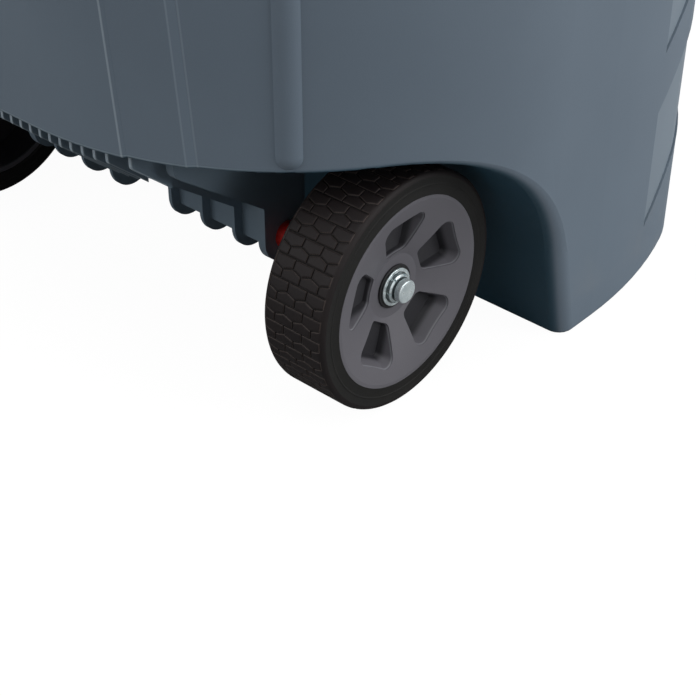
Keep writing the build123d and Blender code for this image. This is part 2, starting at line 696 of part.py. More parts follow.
def sill_y(x):
    """Y of the tub's wheel-side outline above the wheel space, at a distance x from the middle."""
    reach = WHEEL_CORNER_R + spread(WELL_TOP)
    return CORNER_Y - sqrt(reach**2 - max(abs(x) - CORNER_X, 0) ** 2)


def gusset(front, back, fall, angle, corner_r):
    """Face of a rib with a slanted lower edge and a rounded front corner."""
    start = WELL_TOP - fall
    end = start - (back - front) * tan(radians(angle))
    outline = Polyline((front, WELL_TOP), (front, start), (back, end), (back, WELL_TOP), close=True)
    face = make_face(outline)
    corner = face.vertices().sort_by_distance((front, start, 0))[0]
    return fillet(corner, corner_r)


def plate_at(face, x, thickness):
    """Rib of given thickness whose middle is at x."""
    return extrude(Plane.YZ * face, amount=thickness / 2, both=True).moved(Location((x, 0, 0)))


def fin(x, back):
    """Thin comb fin at x that starts just behind the tub's outline."""
    face = gusset(sill_y(x) + FIN_SETBACK, back, FIN_FALL, FIN_ANGLE, FIN_CORNER_R)
    return plate_at(face, x, FIN_T)


def axle_rib(x, thickness, bore, front, fall):
    """Rib that reaches down round the axle with a round lobe."""
    face = gusset(front, -LOBE_R, fall, GUSSET_ANGLE, GUSSET_CORNER_R)
    stem_top = RIB_BACK_TOP
    stem = Pos(0, (stem_top + WHEEL_R) / 2) * Rectangle(2 * LOBE_R, stem_top - WHEEL_R)
    face = face + stem + Pos(0, WHEEL_R) * Circle(LOBE_R) - Pos(0, WHEEL_R) * Circle(bore)
    return plate_at(face & well_profile(0), x, thickness)


def make_carrier():
    """Ribbed moulding under the tub that holds the axle."""
    wide = 2 * END_PLATE_OUT
    depth = WELL_Y - FLANGE_FRONT
    carrier = Pos(0, WELL_Y - depth / 2, WELL_TOP - FLANGE_T / 2) * Box(wide, depth, FLANGE_T)
    xs = [i * RIB_PITCH for i in range(1, RIB_COUNT + 1)]
    ribs = [axle_rib(x, RIB_T, AXLE_R + AXLE_FIT, RIB_FRONT, RIB_FALL) for x in xs]
    end_x = (END_PLATE_X + END_PLATE_OUT) / 2
    ribs.append(axle_rib(end_x, END_PLATE_T, BUSH_OUTER_R, END_PLATE_FRONT, END_PLATE_FALL))
    inner = RIB_PITCH - RIB_T / 2
    low = WHEEL_R - PANEL_BELOW_AXLE
    panel = Box(END_PLATE_X - inner, PANEL_T, PANEL_TOP - low)
    ribs.append(Pos((END_PLATE_X + inner) / 2, PANEL_FRONT + PANEL_T / 2, (PANEL_TOP + low) / 2) * panel)
    ribs.append(fin(END_FIN_X, END_FIN_BACK))
    first = -(FIN_COUNT - 1) / 2
    fins = [fin((first + i) * FIN_PITCH, FIN_BACK) for i in range(FIN_COUNT)]
    carrier = carrier + fins + both_sides(Part() + ribs)
    return carrier - both_sides(Part() + [screw_hole(*spot) for spot in carrier_screw_spots()])


def carrier_screw_spots():
    """Where the carrier's screws enter its flange, on the right side."""
    y = (FIN_BACK + WELL_Y) / 2
    xs = [(i + 0.5) * RIB_PITCH for i in range(1, RIB_COUNT + 1)]
    return [((x, y, WELL_TOP - FLANGE_T), (0, 0, -1), FLANGE_T + WALL) for x in xs]


def handle_screw_spots():
    """Where the handle bracket's screws enter it, on the right side."""
    reach = BRACKET_HEIGHT / 2 - SCREW_INSET
    upward = Vector(0, sin(radians(DRAFT)), cos(radians(DRAFT)))
    base = HANDLE_WALL + Vector(HANDLE_X, 0, 0) + WALL_NORMAL * BRACKET_T
    return [(base + upward * reach * side, WALL_NORMAL, BRACKET_T + WALL) for side in (-1, 1)]


def staple_screw_spot():
    """Where the staple's screw enters it, on the right side."""
    y = FOOT_SIDE + LIP_GROW + PLATE_T
    z = SKIRT_LOW - STAPLE_GAP - SCREW_INSET
    return ((PLATE_HALF - SCREW_INSET, y, z), (0, 1, 0), PLATE_T + LIP_T)


def hasp_screw_spot():
    """Where the hasp's screw enters it, on the right side."""
    y = FOOT_SIDE + LID_GROW + PLATE_T
    z = SKIRT_LOW - HASP_TAIL + HASP_HEIGHT - 2 * SCREW_INSET
    return ((PLATE_HALF - SCREW_INSET, y, z), (0, 1, 0), PLATE_T + LID_WALL)


def lock_hole():
    """Padlock hole through both plates, below the lip."""
    bar = Cylinder(LOCK_HOLE_R, 2 * MARGIN)
    return Pos(0, FOOT_SIDE + LIP_GROW + MARGIN - LIP_T, LOCK_Z) * (Rot(90, 0, 0) * bar)


def lock_plate(y, low, height):
    """Flat plate with rounded corners and the padlock hole."""
    face = RectangleRounded(2 * PLATE_HALF, height, SCREW_INSET)
    flat = Plane(origin=(0, y, low + height / 2), x_dir=(1, 0, 0), z_dir=(0, -1, 0))
    return extrude(flat * face, amount=-PLATE_T) - lock_hole()


def make_hasp():
    """Padlock plate on the lid, with a tail below the skirt."""
    plate = lock_plate(FOOT_SIDE + LID_GROW, SKIRT_LOW - HASP_TAIL, HASP_HEIGHT)
    return plate - both_sides(screw_hole(*hasp_screw_spot()))


def make_staple():
    """Padlock plate that hangs from the tub's lip, behind the hasp's tail."""
    plate = lock_plate(FOOT_SIDE + LIP_GROW, SKIRT_LOW - STAPLE_GAP - STAPLE_HEIGHT, STAPLE_HEIGHT)
    return plate - both_sides(screw_hole(*staple_screw_spot()))


def make_bracket():
    """Handle bracket with two cheeks, on the right side."""
    frame = Plane(origin=HANDLE_WALL + Vector(HANDLE_X, 0, 0), x_dir=(1, 0, 0), z_dir=WALL_NORMAL)
    base = extrude(RectangleRounded(BRACKET_WIDTH, BRACKET_HEIGHT, SCREW_INSET), amount=BRACKET_T)
    middle = PIVOT_OUT - BRACKET_T / 2
    ear = Pos(BRACKET_T / 2 + middle / 2, 0) * Rectangle(middle, 2 * CHEEK_R)
    ear += Pos(PIVOT_OUT, 0) * Circle(CHEEK_R)
    upright = Plane(origin=(0, 0, 0), x_dir=(0, 0, 1), z_dir=(1, 0, 0))
    gap = EYE_HALF + EYE_PLAY
    cheek = extrude(upright * ear, amount=CHEEK_T)
    cheeks = [Pos(gap, 0, 0) * cheek, Pos(-gap - CHEEK_T, 0, 0) * cheek]
    bracket = frame * (base + cheeks)
    reach = gap + CHEEK_T + MARGIN
    bore = along_x(HANDLE_PIN_R, HANDLE_X - reach, HANDLE_X + reach, PIVOT.Y, PIVOT.Z)
    return bracket - bore - [screw_hole(*spot) for spot in handle_screw_spots()]


def make_handle_pin():
    """Headed pin of the handle, on the right side."""
    reach = EYE_HALF + EYE_PLAY + CHEEK_T
    shank = along_x(HANDLE_PIN_R, HANDLE_X - reach, HANDLE_X + reach, PIVOT.Y, PIVOT.Z)
    end = HANDLE_X + reach
    return shank + along_x(HANDLE_PIN_HEAD_R, end, end + HANDLE_PIN_HEAD_T, PIVOT.Y, PIVOT.Z)


def make_bail():
    """Swinging bail that hangs from its two pins."""
    low = PIVOT.Z - BAIL_DROP
    path = FilletPolyline(
        (-HANDLE_X, PIVOT.Y, PIVOT.Z),
        (-HANDLE_X, PIVOT.Y, low),
        (HANDLE_X, PIVOT.Y, low),
        (HANDLE_X, PIVOT.Y, PIVOT.Z),
        radius=BAIL_BEND_R,
    )
    bail = sweep(Plane(origin=path @ 0, z_dir=path % 0) * Circle(BAIL_R), path=path)
    for x in (-HANDLE_X, HANDLE_X):
        bail += along_x(EYE_R, x - EYE_HALF, x + EYE_HALF, PIVOT.Y, PIVOT.Z)
    for x in (-HANDLE_X, HANDLE_X):
        bail -= along_x(HANDLE_PIN_R + AXLE_FIT, x - EYE_HALF, x + EYE_HALF, PIVOT.Y, PIVOT.Z)
    return bail


def make_grip():
    """Ringed sleeve on the bail's crossbar."""
    low = PIVOT.Z - BAIL_DROP
    half = GRIP_LENGTH / 2
    sleeve = along_x(GRIP_R, -half, half, PIVOT.Y, low)
    sleeve = fillet(sleeve.edges().filter_by(GeomType.CIRCLE), (GRIP_R - BAIL_R) / 2)
    for index in range(GRIP_RING_COUNT):
        x = (index - (GRIP_RING_COUNT - 1) / 2) * GRIP_RING_PITCH
        left, right = x - GRIP_RING_WIDTH / 2, x + GRIP_RING_WIDTH / 2
        ring = along_x(GRIP_R + MARGIN, left, right, PIVOT.Y, low)
        sleeve -= ring - along_x(GRIP_R - GRIP_RING_DEPTH, left, right, PIVOT.Y, low)
    return sleeve - along_x(BAIL_R + SLEEVE_FIT, -half, half, PIVOT.Y, low)


def make_pieces():
    """Every piece of the box by name."""
    pieces = {
        "tub": make_tub(),
        "axle_carrier": make_carrier(),
        "axle": make_axle(),
        "lid": make_lid(),
        "pull_handle": make_bail(),
        "handle_grip": make_grip(),
        "lock_hasp": make_hasp(),
        "lock_staple": make_staple(),
        "hinge_screws": hinge_screws(LIP_GROW, HINGE_Z, screw),
        "lid_hinge_screws": hinge_screws(LID_GROW, lid_screw_z(), screw),
        "carrier_screws": both_sides(Part() + [screw(*spot) for spot in carrier_screw_spots()]),
        "handle_screws": both_sides(Part() + [screw(*spot) for spot in handle_screw_spots()]),
        "lock_screws": both_sides(screw(*hasp_screw_spot())),
        "staple_screws": both_sides(screw(*staple_screw_spot())),
    }
    paired = {
        "wheel_rim": make_rim(),
        "tyre": make_tyre(),
        "hub_bush": make_hub_bush(),
        "axle_bush": make_axle_bush(),
        "axle_spacer": make_spacer(),
        "axle_washer": make_washer(),
        "push_nut": make_push_nut(),
        "hinge_tub_leaf": tub_leaf(),
        "hinge_lid_leaf": lid_leaf(),
        "hinge_pin": hinge_pin(),
        "handle_bracket": make_bracket(),
        "handle_pin": make_handle_pin(),
    }
    for name, piece in paired.items():
        pieces[f"{name}_right"] = piece
        pieces[f"{name}_left"] = mirrored(piece)
    return pieces


def main():
    """Set the origin under the middle of the box and write each piece."""
    os.makedirs("parts", exist_ok=True)
    pieces = make_pieces()
    box = Compound(list(pieces.values())).bounding_box()
    middle = box.center()
    to_origin = Pos(-middle.X, -middle.Y, -box.min.Z)
    for name, piece in pieces.items():
        export_step(to_origin * piece, f"parts/{name}.step")


main()
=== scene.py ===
"""Looks of a wheeled deck storage box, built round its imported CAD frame."""

import logging
import math
from dataclasses import dataclass, field
from enum import Enum
from typing import Any, NamedTuple, Union

import bpy
import numpy as np
from mathutils import Matrix, Vector


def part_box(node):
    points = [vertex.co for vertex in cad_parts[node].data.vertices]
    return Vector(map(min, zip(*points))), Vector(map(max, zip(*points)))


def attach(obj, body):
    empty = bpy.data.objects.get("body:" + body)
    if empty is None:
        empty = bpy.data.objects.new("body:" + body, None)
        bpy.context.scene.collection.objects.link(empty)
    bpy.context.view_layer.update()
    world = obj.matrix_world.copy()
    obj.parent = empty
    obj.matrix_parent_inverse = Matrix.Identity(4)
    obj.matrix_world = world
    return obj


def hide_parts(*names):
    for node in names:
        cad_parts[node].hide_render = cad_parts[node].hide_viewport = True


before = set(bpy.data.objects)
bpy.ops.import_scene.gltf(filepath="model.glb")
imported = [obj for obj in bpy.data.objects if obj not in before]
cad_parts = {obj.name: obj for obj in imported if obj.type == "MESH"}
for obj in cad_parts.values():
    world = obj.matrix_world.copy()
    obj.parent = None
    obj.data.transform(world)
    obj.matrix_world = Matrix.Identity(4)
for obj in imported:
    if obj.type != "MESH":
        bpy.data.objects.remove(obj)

Triple = tuple[float, float, float]
Colour = Triple
Span = tuple[float, float]
Grid = np.ndarray
Material = bpy.types.Material
Socket = bpy.types.NodeSocket

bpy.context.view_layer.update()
LOG = logging.getLogger("deck_box")
MM = 0.001
WHITE = (1.0, 1.0, 1.0, 1.0)
SILL_CORNER = (44 * MM, -5.283 * MM)


class Side(Enum):
    """Which end of the axle a piece is on."""

    RIGHT = 1
    LEFT = -1

    def of(self, name: str) -> str:
        """A piece's name on this side."""
        return f"{name}_{self.name.lower()}"


class Body(Enum):
    """The rigid bodies that new pieces ride on."""

    BASE = "base"
    WHEEL_RIGHT = "wheel_right"
    WHEEL_LEFT = "wheel_left"


def srgb(red: float, green: float, blue: float) -> Colour:
    """Linear light from a display colour whose channels go from 0 to 255."""
    share = np.array([red, green, blue]) / 255.0
    return tuple(np.where(share <= 0.04045, share / 12.92, ((share + 0.055) / 1.055) ** 2.4).tolist())


class Wire:
    """One shader value that can be used in Python sums and products."""

    def __init__(self, graph: "Graph", socket: Socket) -> None:
        """Keep the graph and the output socket."""
        self.graph = graph
        self.socket = socket

    def _maths(self, operation: str, *values: Any) -> "Wire":
        """Add a Math node on these values."""
        return self.graph.value("ShaderNodeMath", {"operation": operation}, dict(enumerate(values)))

    def __add__(self, other: Any) -> "Wire":
        """Sum of two values."""
        return self._maths("ADD", self, other)

    __radd__ = __add__

    def __mul__(self, other: Any) -> "Wire":
        """Product of two values."""
        return self._maths("MULTIPLY", self, other)

    __rmul__ = __mul__

    def __sub__(self, other: Any) -> "Wire":
        """Difference of two values."""
        return self._maths("SUBTRACT", self, other)

    def __rsub__(self, other: Any) -> "Wire":
        """Difference with this value taken away."""
        return self._maths("SUBTRACT", other, self)

    def __pow__(self, other: Any) -> "Wire":
        """This value raised to a power."""
        return self._maths("POWER", self, other)

    def __abs__(self) -> "Wire":
        """Size of this value without its sign."""
        return self._maths("ABSOLUTE", self)

    def root(self) -> "Wire":
        """Square root of this value."""
        return self._maths("SQRT", self)

    def wave(self) -> "Wire":
        """Sine of this value."""
        return self._maths("SINE", self)

    def turn_from(self, other: "Wire") -> "Wire":
        """Angle whose sine side is this value and cosine side the other."""
        return self._maths("ARCTAN2", self, other)

    def diagonal(self, other: "Wire") -> "Wire":
        """Long side of the right triangle on these two values."""
        return (self**2.0 + other**2.0).root()

    def least(self, other: Any, blend: float) -> "Wire":
        """Smaller of two values, blended where they are close."""
        return self._maths("SMOOTH_MIN", self, other, blend)

    def most(self, other: Any) -> "Wire":
        """Larger of two values."""
        return self._maths("MAXIMUM", self, other)

    def centred(self) -> "Wire":
        """A value between 0 and 1 less its middle."""
        return self - 0.5

    def clip(self) -> "Wire":
        """This value held between 0 and 1."""
        return self.graph.value("ShaderNodeClamp", {}, {"Value": self, "Min": 0.0, "Max": 1.0})

    def ramp(self, low: float, high: float) -> "Wire":
        """Smooth step from 0 at low to 1 at high."""
        inputs = {"Value": self, "From Min": low, "From Max": high}
        return self.graph.value("ShaderNodeMapRange", {"interpolation_type": "SMOOTHSTEP"}, inputs)

    def fade(self, low: float, high: float) -> "Wire":
        """Smooth step from 1 at low to 0 at high."""
        return 1.0 - self.ramp(low, high)

    def band(self, rise: Span, fall: Span) -> "Wire":
        """1 between a smooth rise and a smooth fall, 0 outside them."""
        return self.ramp(*rise) * self.fade(*fall)

    def within(self, span: Span, soft: float) -> "Wire":
        """1 between the span's ends, fading to 0 over the soft width beyond each."""
        low, high = span
        return self.band((low - soft, low), (high, high + soft))


class Noise(NamedTuple):
    """Cycles per metre and octaves of a noise."""

    scale: float
    detail: float


class Graph:
    """The node tree of a material or of the surroundings, with one way to add nodes."""

    def __init__(self, owner: Union[Material, bpy.types.World]) -> None:
        """Start the owner's tree empty.

        Args:
            owner: Material or world that the tree belongs to.
        """
        owner.use_nodes = True
        self.owner = owner
        self.tree = owner.node_tree
        self.tree.nodes.clear()

    @classmethod
    def material(cls, name: str) -> "Graph":
        """Graph of a new material."""
        return cls(bpy.data.materials.new(name))

    def node(self, kind: str, settings: dict[str, Any], inputs: dict[Any, Any]) -> bpy.types.Node:
        """Add any node.

        Args:
            kind: Blender's node type.
            settings: Node attributes, set before the sockets.
            inputs: Socket name or number to a Wire, a socket or a constant.

        Returns:
            The new node.
        """
        node = self.tree.nodes.new(kind)
        for key, value in settings.items():
            setattr(node, key, value)
        for key, value in inputs.items():
            if isinstance(value, Wire):
                value = value.socket
            if isinstance(value, Socket):
                self.tree.links.new(value, node.inputs[key])
            else:
                node.inputs[key].default_value = value
        return node

    def value(self, kind: str, settings: dict[str, Any], inputs: dict[Any, Any], output: Any = 0) -> Wire:
        """Add any node and take one of its outputs as a value."""
        return Wire(self, self.node(kind, settings, inputs).outputs[output])

    def coords(self) -> Socket:
        """Object coordinates as a vector socket."""
        return self.node("ShaderNodeTexCoord", {}, {}).outputs["Object"]

    def place(self) -> tuple[Wire, Wire, Wire]:
        """Object coordinates as three values in metres."""
        parts = self.node("ShaderNodeSeparateXYZ", {}, {0: self.coords()})
        return tuple(Wire(self, parts.outputs[i]) for i in range(3))

    def round_axle(self, node: str) -> tuple[Wire, Wire]:
        """Where a point lies on a piece that is round about the axle line.

        Args:
            node: The piece's CAD node.

        Returns:
            Depth below the node's outer end and distance from its axle line, in metres.
        """
        low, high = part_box(node)
        middle, face = (low + high) / 2, max(abs(low.x), abs(high.x))
        x, y, z = self.place()
        return face - abs(x), (y - middle.y).diagonal(z - middle.z)

    def stretched(self, times: Triple) -> Socket:
        """Object coordinates, each times a number of its own."""
        inputs = {0: self.coords(), 1: times}
        return self.node("ShaderNodeVectorMath", {"operation": "MULTIPLY"}, inputs).outputs[0]

    def noise(self, noise: Noise, at: Any = None) -> Wire:
        """Noise between 0 and 1, on Object coordinates or at another vector socket."""
        inputs = {"Vector": at or self.coords(), "Scale": noise.scale, "Detail": noise.detail}
        return self.value("ShaderNodeTexNoise", {}, inputs)

    def attribute(self, name: str) -> Wire:
        """A number kept on the mesh."""
        return self.value("ShaderNodeAttribute", {"attribute_name": name}, {}, "Fac")

    def pebbles(self, scale: float) -> Wire:
        """Distance to the nearest cell centre, for a pebbled moulding."""
        inputs = {"Vector": self.coords(), "Scale": scale}
        return self.value("ShaderNodeTexVoronoi", {}, inputs, "Distance")

    def mix(self, factor: Any, low: Any, high: Any) -> Socket:
        """Colour that goes from low to high with the factor."""
        inputs = {0: factor, 6: self._rgba(low), 7: self._rgba(high)}
        return self.node("ShaderNodeMix", {"data_type": "RGBA"}, inputs).outputs[2]

    @staticmethod
    def _rgba(colour: Any) -> Any:
        """A colour with alpha, or the socket it already is."""
        return (*colour, 1.0) if isinstance(colour, tuple) else colour

    def bump(self, height: Wire, depth: float, strength: float) -> Socket:
        """Normal of a surface raised by a height times a depth in metres, at a strength."""
        inputs = {"Height": height, "Distance": depth, "Strength": strength}
        return self.node("ShaderNodeBump", {}, inputs).outputs[0]

    def finish(self, inputs: dict[str, Any]) -> Material:
        """Close the tree with a surface shader.

        Args:
            inputs: Sockets of the surface shader.

        Returns:
            The finished material.
        """
        shader = self.node("ShaderNodeBsdfPrincipled", {}, inputs)
        self.node("ShaderNodeOutputMaterial", {}, {"Surface": shader.outputs[0]})
        return self.owner


@dataclass(frozen=True)
class Finish:
    """What a surface is made of: a colour, a second one that noise brings in, and a roughness."""

    name: str
    colour: Colour
    second: Colour
    rough: float = 0.46

    def make(self) -> Material:
        """Build the material, each finish in its own way."""
        raise NotImplementedError

    def shade(self, graph: Graph, base: Socket) -> Socket:
        """Colour with what has settled or worn; a plain surface keeps its own."""
        return base


@dataclass(frozen=True)
class MouldedPlastic(Finish):
    """Satin moulded plastic with fine grain and faint flow marks."""

    grain: Noise = Noise(1500.0, 2.0)
    grain_tone: float = 0.35
    grain_height: float = 0.6
    grain_depth: float = 0.12 * MM
    grain_strength: float = 0.22
    cell_scale: float = 825.0
    cell_height: float = 0.7
    flow: Noise = Noise(5.0, 4.0)
    flow_tone: float = 0.9
    tone_range: Span = (0.1, 0.9)
    rough_swing: float = 0.1
    gloss: float = 0.35

    def make(self) -> Material:
        """Build the material.

        Returns:
            The new material.
        """
        graph = Graph.material(self.name)
        flow = graph.noise(self.flow)
        grain = graph.noise(self.grain)
        cells = graph.pebbles(self.cell_scale)
        tone = flow.centred() * self.flow_tone + 0.5 + grain.centred() * self.grain_tone
        base = graph.mix(tone.ramp(*self.tone_range), self.colour, self.second)
        height = grain * self.grain_height + cells * self.cell_height
        return graph.finish({
            "Base Color": self.shade(graph, base),
            "Roughness": self.rough + (flow.centred() + grain.centred()) * self.rough_swing,
            "Normal": graph.bump(height, self.grain_depth, self.grain_strength),
            "Specular IOR Level": self.gloss,
        })


@dataclass(frozen=True)
class TubPlastic(MouldedPlastic):
    """Tub plastic with dust near the ground, painted shade in the wheel space, and painted highlights on
    the edges, sill and facets.
    """

    dust: Colour = srgb(150, 148, 142)
    dust_height: float = 90 * MM
    dust_amount: float = 0.14
    patches: Noise = Noise(26.0, 5.0)
    patch_range: Span = (0.42, 0.78)
    # Colour of the painted shade on the wheel space's walls.
    dark: Colour = srgb(48, 80, 97)
    # Colour of the painted highlights on the step and sill lines and on the facets.
    painted_highlight: Colour = srgb(158, 170, 179)
    draft: float = math.tan(math.radians(0.5))
    well_axis: Span = (-148.283 * MM, 46 * MM)
    well_radius: float = 153 * MM
    well_lean: float = math.radians(12.0)
    well_top: float = 199 * MM
    dark_reach: Span = (0.2 * MM, 4 * MM)
    corner_radius: float = 247.3 * MM
    corner_skin: Span = (-2.5 * MM, -2 * MM)
    corner_start: Span = (0.0, 5 * MM)
    line_core: float = 0.4
    line_start: Span = (-1 * MM, 0.0)
    step_lines: tuple[Span, ...] = ((16.7, 0.55), (26.9, 0.22), (28.5, 0.2))
    step_half: float = 0.2
    step_taper: float = 0.0135 / MM
    sill_lift: float = 2.2 * MM
    sill_half: float = 0.9 * MM
    sill_end: Span = (-90 * MM, -20 * MM)
    sill_strength: float = 0.4
    facet_run: Span = (129.717 * MM, 224.717 * MM)
    facet_levels: tuple[Span, ...] = ((44 * MM, 144 * MM), (193 * MM, 400 * MM))
    facet_rise: float = math.tan(math.radians(33.0))
    facet_soft: float = 0.3 * MM
    facet_skin: Span = (-3 * MM, -2.4 * MM)
    facet_strength: float = 0.24
    bow: Triple = (-108.7 * MM, 54.717 * MM, 400 * MM)
    bow_end: float = 184.944 * MM
    foot: Triple = (165.5 * MM, 149.132 * MM, 110 * MM)

    def shade(self, graph: Graph, base: Socket) -> Socket:
        """Colour with dust, the painted shade in the wheel space, and the painted highlights on the lines
        and facets.

        Args:
            graph: The material's graph.
            base: Colour of the open faces.

        Returns:
            The shaded colour.
        """
        dusty = graph.mix(self.settled(graph) * self.dust_amount, base, self.dust)
        # Painted shade on the wheel space's walls.
        dark = graph.mix(self.wheel_space(graph), dusty, self.dark)
        # Painted highlights along the step edges and the sill.
        lined = graph.mix(self.highlight_lines(graph), dark, self.painted_highlight)
        # Painted light on the facets of the foot-side corners.
        return graph.mix(self.facet_light(graph) * self.facet_strength, lined, self.painted_highlight)

    def settled(self, graph: Graph) -> Wire:
        """Where dust has settled, in patches that thin out with height."""
        _, _, z = graph.place()
        return z.fade(0.0, self.dust_height) * graph.noise(self.patches).ramp(*self.patch_range)

    def facet_light(self, graph: Graph) -> Wire:
        """Where the painted light on the shallow facets of the foot-side corners lies, from 0 to 1.

        A facet lies between two heights that rise with Y, and within its run along Y. The side's
        bow and then the foot's corner, two circles, tell the outer face from the inner.

        Args:
            graph: The material's graph.

        Returns:
            The share of the facets' painted light.
        """
        x, y, z = graph.place()
        level = z - (y - self.facet_run[0]) * self.facet_rise
        facet_light = sum(level.within(levels, self.facet_soft) for levels in self.facet_levels)
        bow, foot = (
            (abs(x) - middle_x).diagonal(y - middle_y) - radius - z * self.draft
            for middle_x, middle_y, radius in (self.bow, self.foot)
        )
        late = y.ramp(self.bow_end - self.facet_soft, self.bow_end + self.facet_soft)
        off = bow + (foot - bow) * late
        return facet_light * y.within(self.facet_run, self.facet_soft) * off.ramp(*self.facet_skin)

    def wheel_space(self, graph: Graph) -> Wire:
        """Where the painted shade on the wheel space's walls lies, from 0 to 1.

        The distance from the space's axis is taken along the leaning wall's normal below the arch
        and straight from the axis on the arch, and what lies within the radius is inside.

        Args:
            graph: The material's graph.

        Returns:
            The share of painted shade.
        """
        _, y, z = graph.place()
        y, z = (y - self.well_axis[0]).most(0.0), z - self.well_axis[1]
        lean_cos, lean_sin = math.cos(self.well_lean), math.sin(self.well_lean)
        out = y * lean_cos + z * lean_sin
        along = (z * lean_cos - y * lean_sin).most(0.0)
        return (out.diagonal(along) - self.well_radius).fade(*self.dark_reach)

    def line(self, value: Wire, at: float, half: float) -> Wire:
        """1 where a value is close to a line's own, 0 beyond the line's half width."""
        return abs(value - at).fade(self.line_core * half, half)

    def highlight_lines(self, graph: Graph) -> Wire:
        """Strength of the painted highlight lines on the outer face of the wheel side.

        A step's line lies where the turn about the corner, which shrinks with height, equals the
        step's own, in degrees. The sill's line lies at one height.

        Args:
            graph: The material's graph.

        Returns:
            The lines' strength.
        """
        x, y, z = graph.place()
        out, front = abs(x) - SILL_CORNER[0], SILL_CORNER[1] - y
        above = z - self.well_top
        turn = out.turn_from(front) * math.degrees(1.0) + above * self.step_taper
        steps = [self.line(turn, at, self.step_half) * strength for at, strength in self.step_lines]
        level = (y - self.well_axis[0]).fade(*self.sill_end)
        sill = self.line(above, self.sill_lift, self.sill_half) * level * self.sill_strength
        off = out.most(0.0).diagonal(front) - z * self.draft - self.corner_radius
        outside = off.ramp(*self.corner_skin) * front.ramp(*self.corner_start)
        return sum([*steps, sill]).clip() * outside * above.ramp(*self.line_start)


@dataclass(frozen=True)
class PocketedPlastic(MouldedPlastic):
    """Wheel plastic with painted shade on the pocket floors and a painted highlight on the pocket edges.
    """

    rough: float = 0.5
    flow: Noise = Noise(9.0, 4.0)
    node: str = ""
    # Colour of the painted shade on the pocket floors.
    dark: Colour = srgb(40, 40, 44)
    # Colour of the painted highlight on the pocket edges.
    painted_highlight: Colour = srgb(150, 151, 157)
    dish_depth: float = 14 * MM
    dish_outer: float = 69.2 * MM
    dish_inner: float = 24 * MM
    dish_power: float = 1.26
    dish_start: Span = (0.02, 0.06)
    floor_depth: float = 17 * MM
    floor_fade: Span = (2.5 * MM, 7.5 * MM)
    pocket_start: Span = (1.2 * MM, 3 * MM)
    edge_from: Span = (0.6 * MM, 0.9 * MM)
    edge_to: Span = (1.2 * MM, 2.2 * MM)
    edge_strength: float = 0.55

    def shade(self, graph: Graph, base: Socket) -> Socket:
        """Colour with painted shade at the pockets' floors and a painted highlight line at the pockets'
        edges.

        The dish lies at a depth of its own times a power of the share of the way from its outer
        edge to the hub.

        Args:
            graph: The material's graph.
            base: Colour of the open face.

        Returns:
            The shaded colour.
        """
        depth, radius = graph.round_axle(self.node)
        share = (self.dish_outer - radius) * (1 / (self.dish_outer - self.dish_inner))
        below = depth - share.clip() ** self.dish_power * self.dish_depth
        inside = share.ramp(*self.dish_start)
        floor = (self.floor_depth - depth).fade(*self.floor_fade) * below.ramp(*self.pocket_start)
        # Painted shade on the pocket floors.
        shaded = graph.mix(floor * inside, base, self.dark)
        edge = below.band(self.edge_from, self.edge_to)
        # Painted highlight along the pocket edges.
        return graph.mix(edge * inside * self.edge_strength, shaded, self.painted_highlight)


@dataclass(frozen=True)
class CombPlastic(MouldedPlastic):
    """Carrier plastic with a painted highlight along the comb fins' edges."""

    # Colour of the painted highlight on the fins' edges.
    painted_highlight: Colour = srgb(150, 164, 174)
    sill_radius: float = 249.04 * MM
    setback: float = 1.5 * MM
    front_low: float = 189.5 * MM
    lean: float = math.radians(40.4)
    corner: float = 2.6 * MM
    pitch: float = 10 * MM
    comb_end: Span = (104 * MM, 105 * MM)
    end_fin: float = 117.3 * MM
    end_soft: float = 0.2 * MM
    fin_half: float = 1.25 * MM
    fin_soft: float = 0.04
    edge: Span = (0.25 * MM, 0.9 * MM)
    back: Span = (-214 * MM, -212 * MM)

    def shade(self, graph: Graph, base: Socket) -> Socket:
        """Colour with a painted highlight along the fins' front and lower edges.

        The front edge follows the tub's outline, a circle about the sill's corner, and the lower
        edge falls from it at the lean. The distance to the nearer of the two gives the painted highlight
        line.
        A fin stands at each crest of a cosine along X, and one more beyond the comb's end.

        Args:
            graph: The material's graph.
            base: Colour of the flat sides.

        Returns:
            The shaded colour.
        """
        x, y, z = graph.place()
        beyond = (abs(x) - SILL_CORNER[0]).most(0.0)
        reach = (self.sill_radius**2 - beyond**2.0).root()
        behind = y - (SILL_CORNER[1] + self.setback) + reach
        above = (z - self.front_low + behind * math.tan(self.lean)) * math.cos(self.lean)
        line = behind.least(above, self.corner).fade(*self.edge)
        rate = 2 * math.pi / self.pitch
        level = math.cos(rate * self.fin_half)
        comb = (x * rate + math.pi / 2).wave().ramp(level - self.fin_soft, level)
        end = abs(abs(x) - self.end_fin).fade(self.fin_half, self.fin_half + self.end_soft)
        fins = (comb * abs(x).fade(*self.comb_end) + end).clip()
        # Painted highlight along the fins' edges.
        return graph.mix(line * fins * y.fade(*self.back), base, self.painted_highlight)


@dataclass(frozen=True)
class Rubber(Finish):
    """Black rubber with a dull bloom and fine pits."""

    rough: float = 0.62
    cloud: Noise = Noise(34.0, 5.0)
    cloud_tone: float = 0.7
    cloud_rough: float = 0.25
    pits: Noise = Noise(900.0, 3.0)
    pit_tone: float = 0.3
    pit_depth: float = 0.18 * MM
    pit_strength: float = 0.35
    tone_range: Span = (0.35, 0.75)
    gloss: float = 0.22

    def make(self) -> Material:
        """Build the material.

        Returns:
            The new material.
        """
        graph = Graph.material(self.name)
        cloud = graph.noise(self.cloud)
        pits = graph.noise(self.pits)
        tone = (cloud * self.cloud_tone + pits * self.pit_tone).ramp(*self.tone_range)
        return graph.finish({
            "Base Color": self.shade(graph, graph.mix(tone, self.colour, self.second)),
            "Roughness": self.rough + cloud.centred() * self.cloud_rough,
            "Normal": graph.bump(pits, self.pit_depth, self.pit_strength),
            "Specular IOR Level": self.gloss,
        })


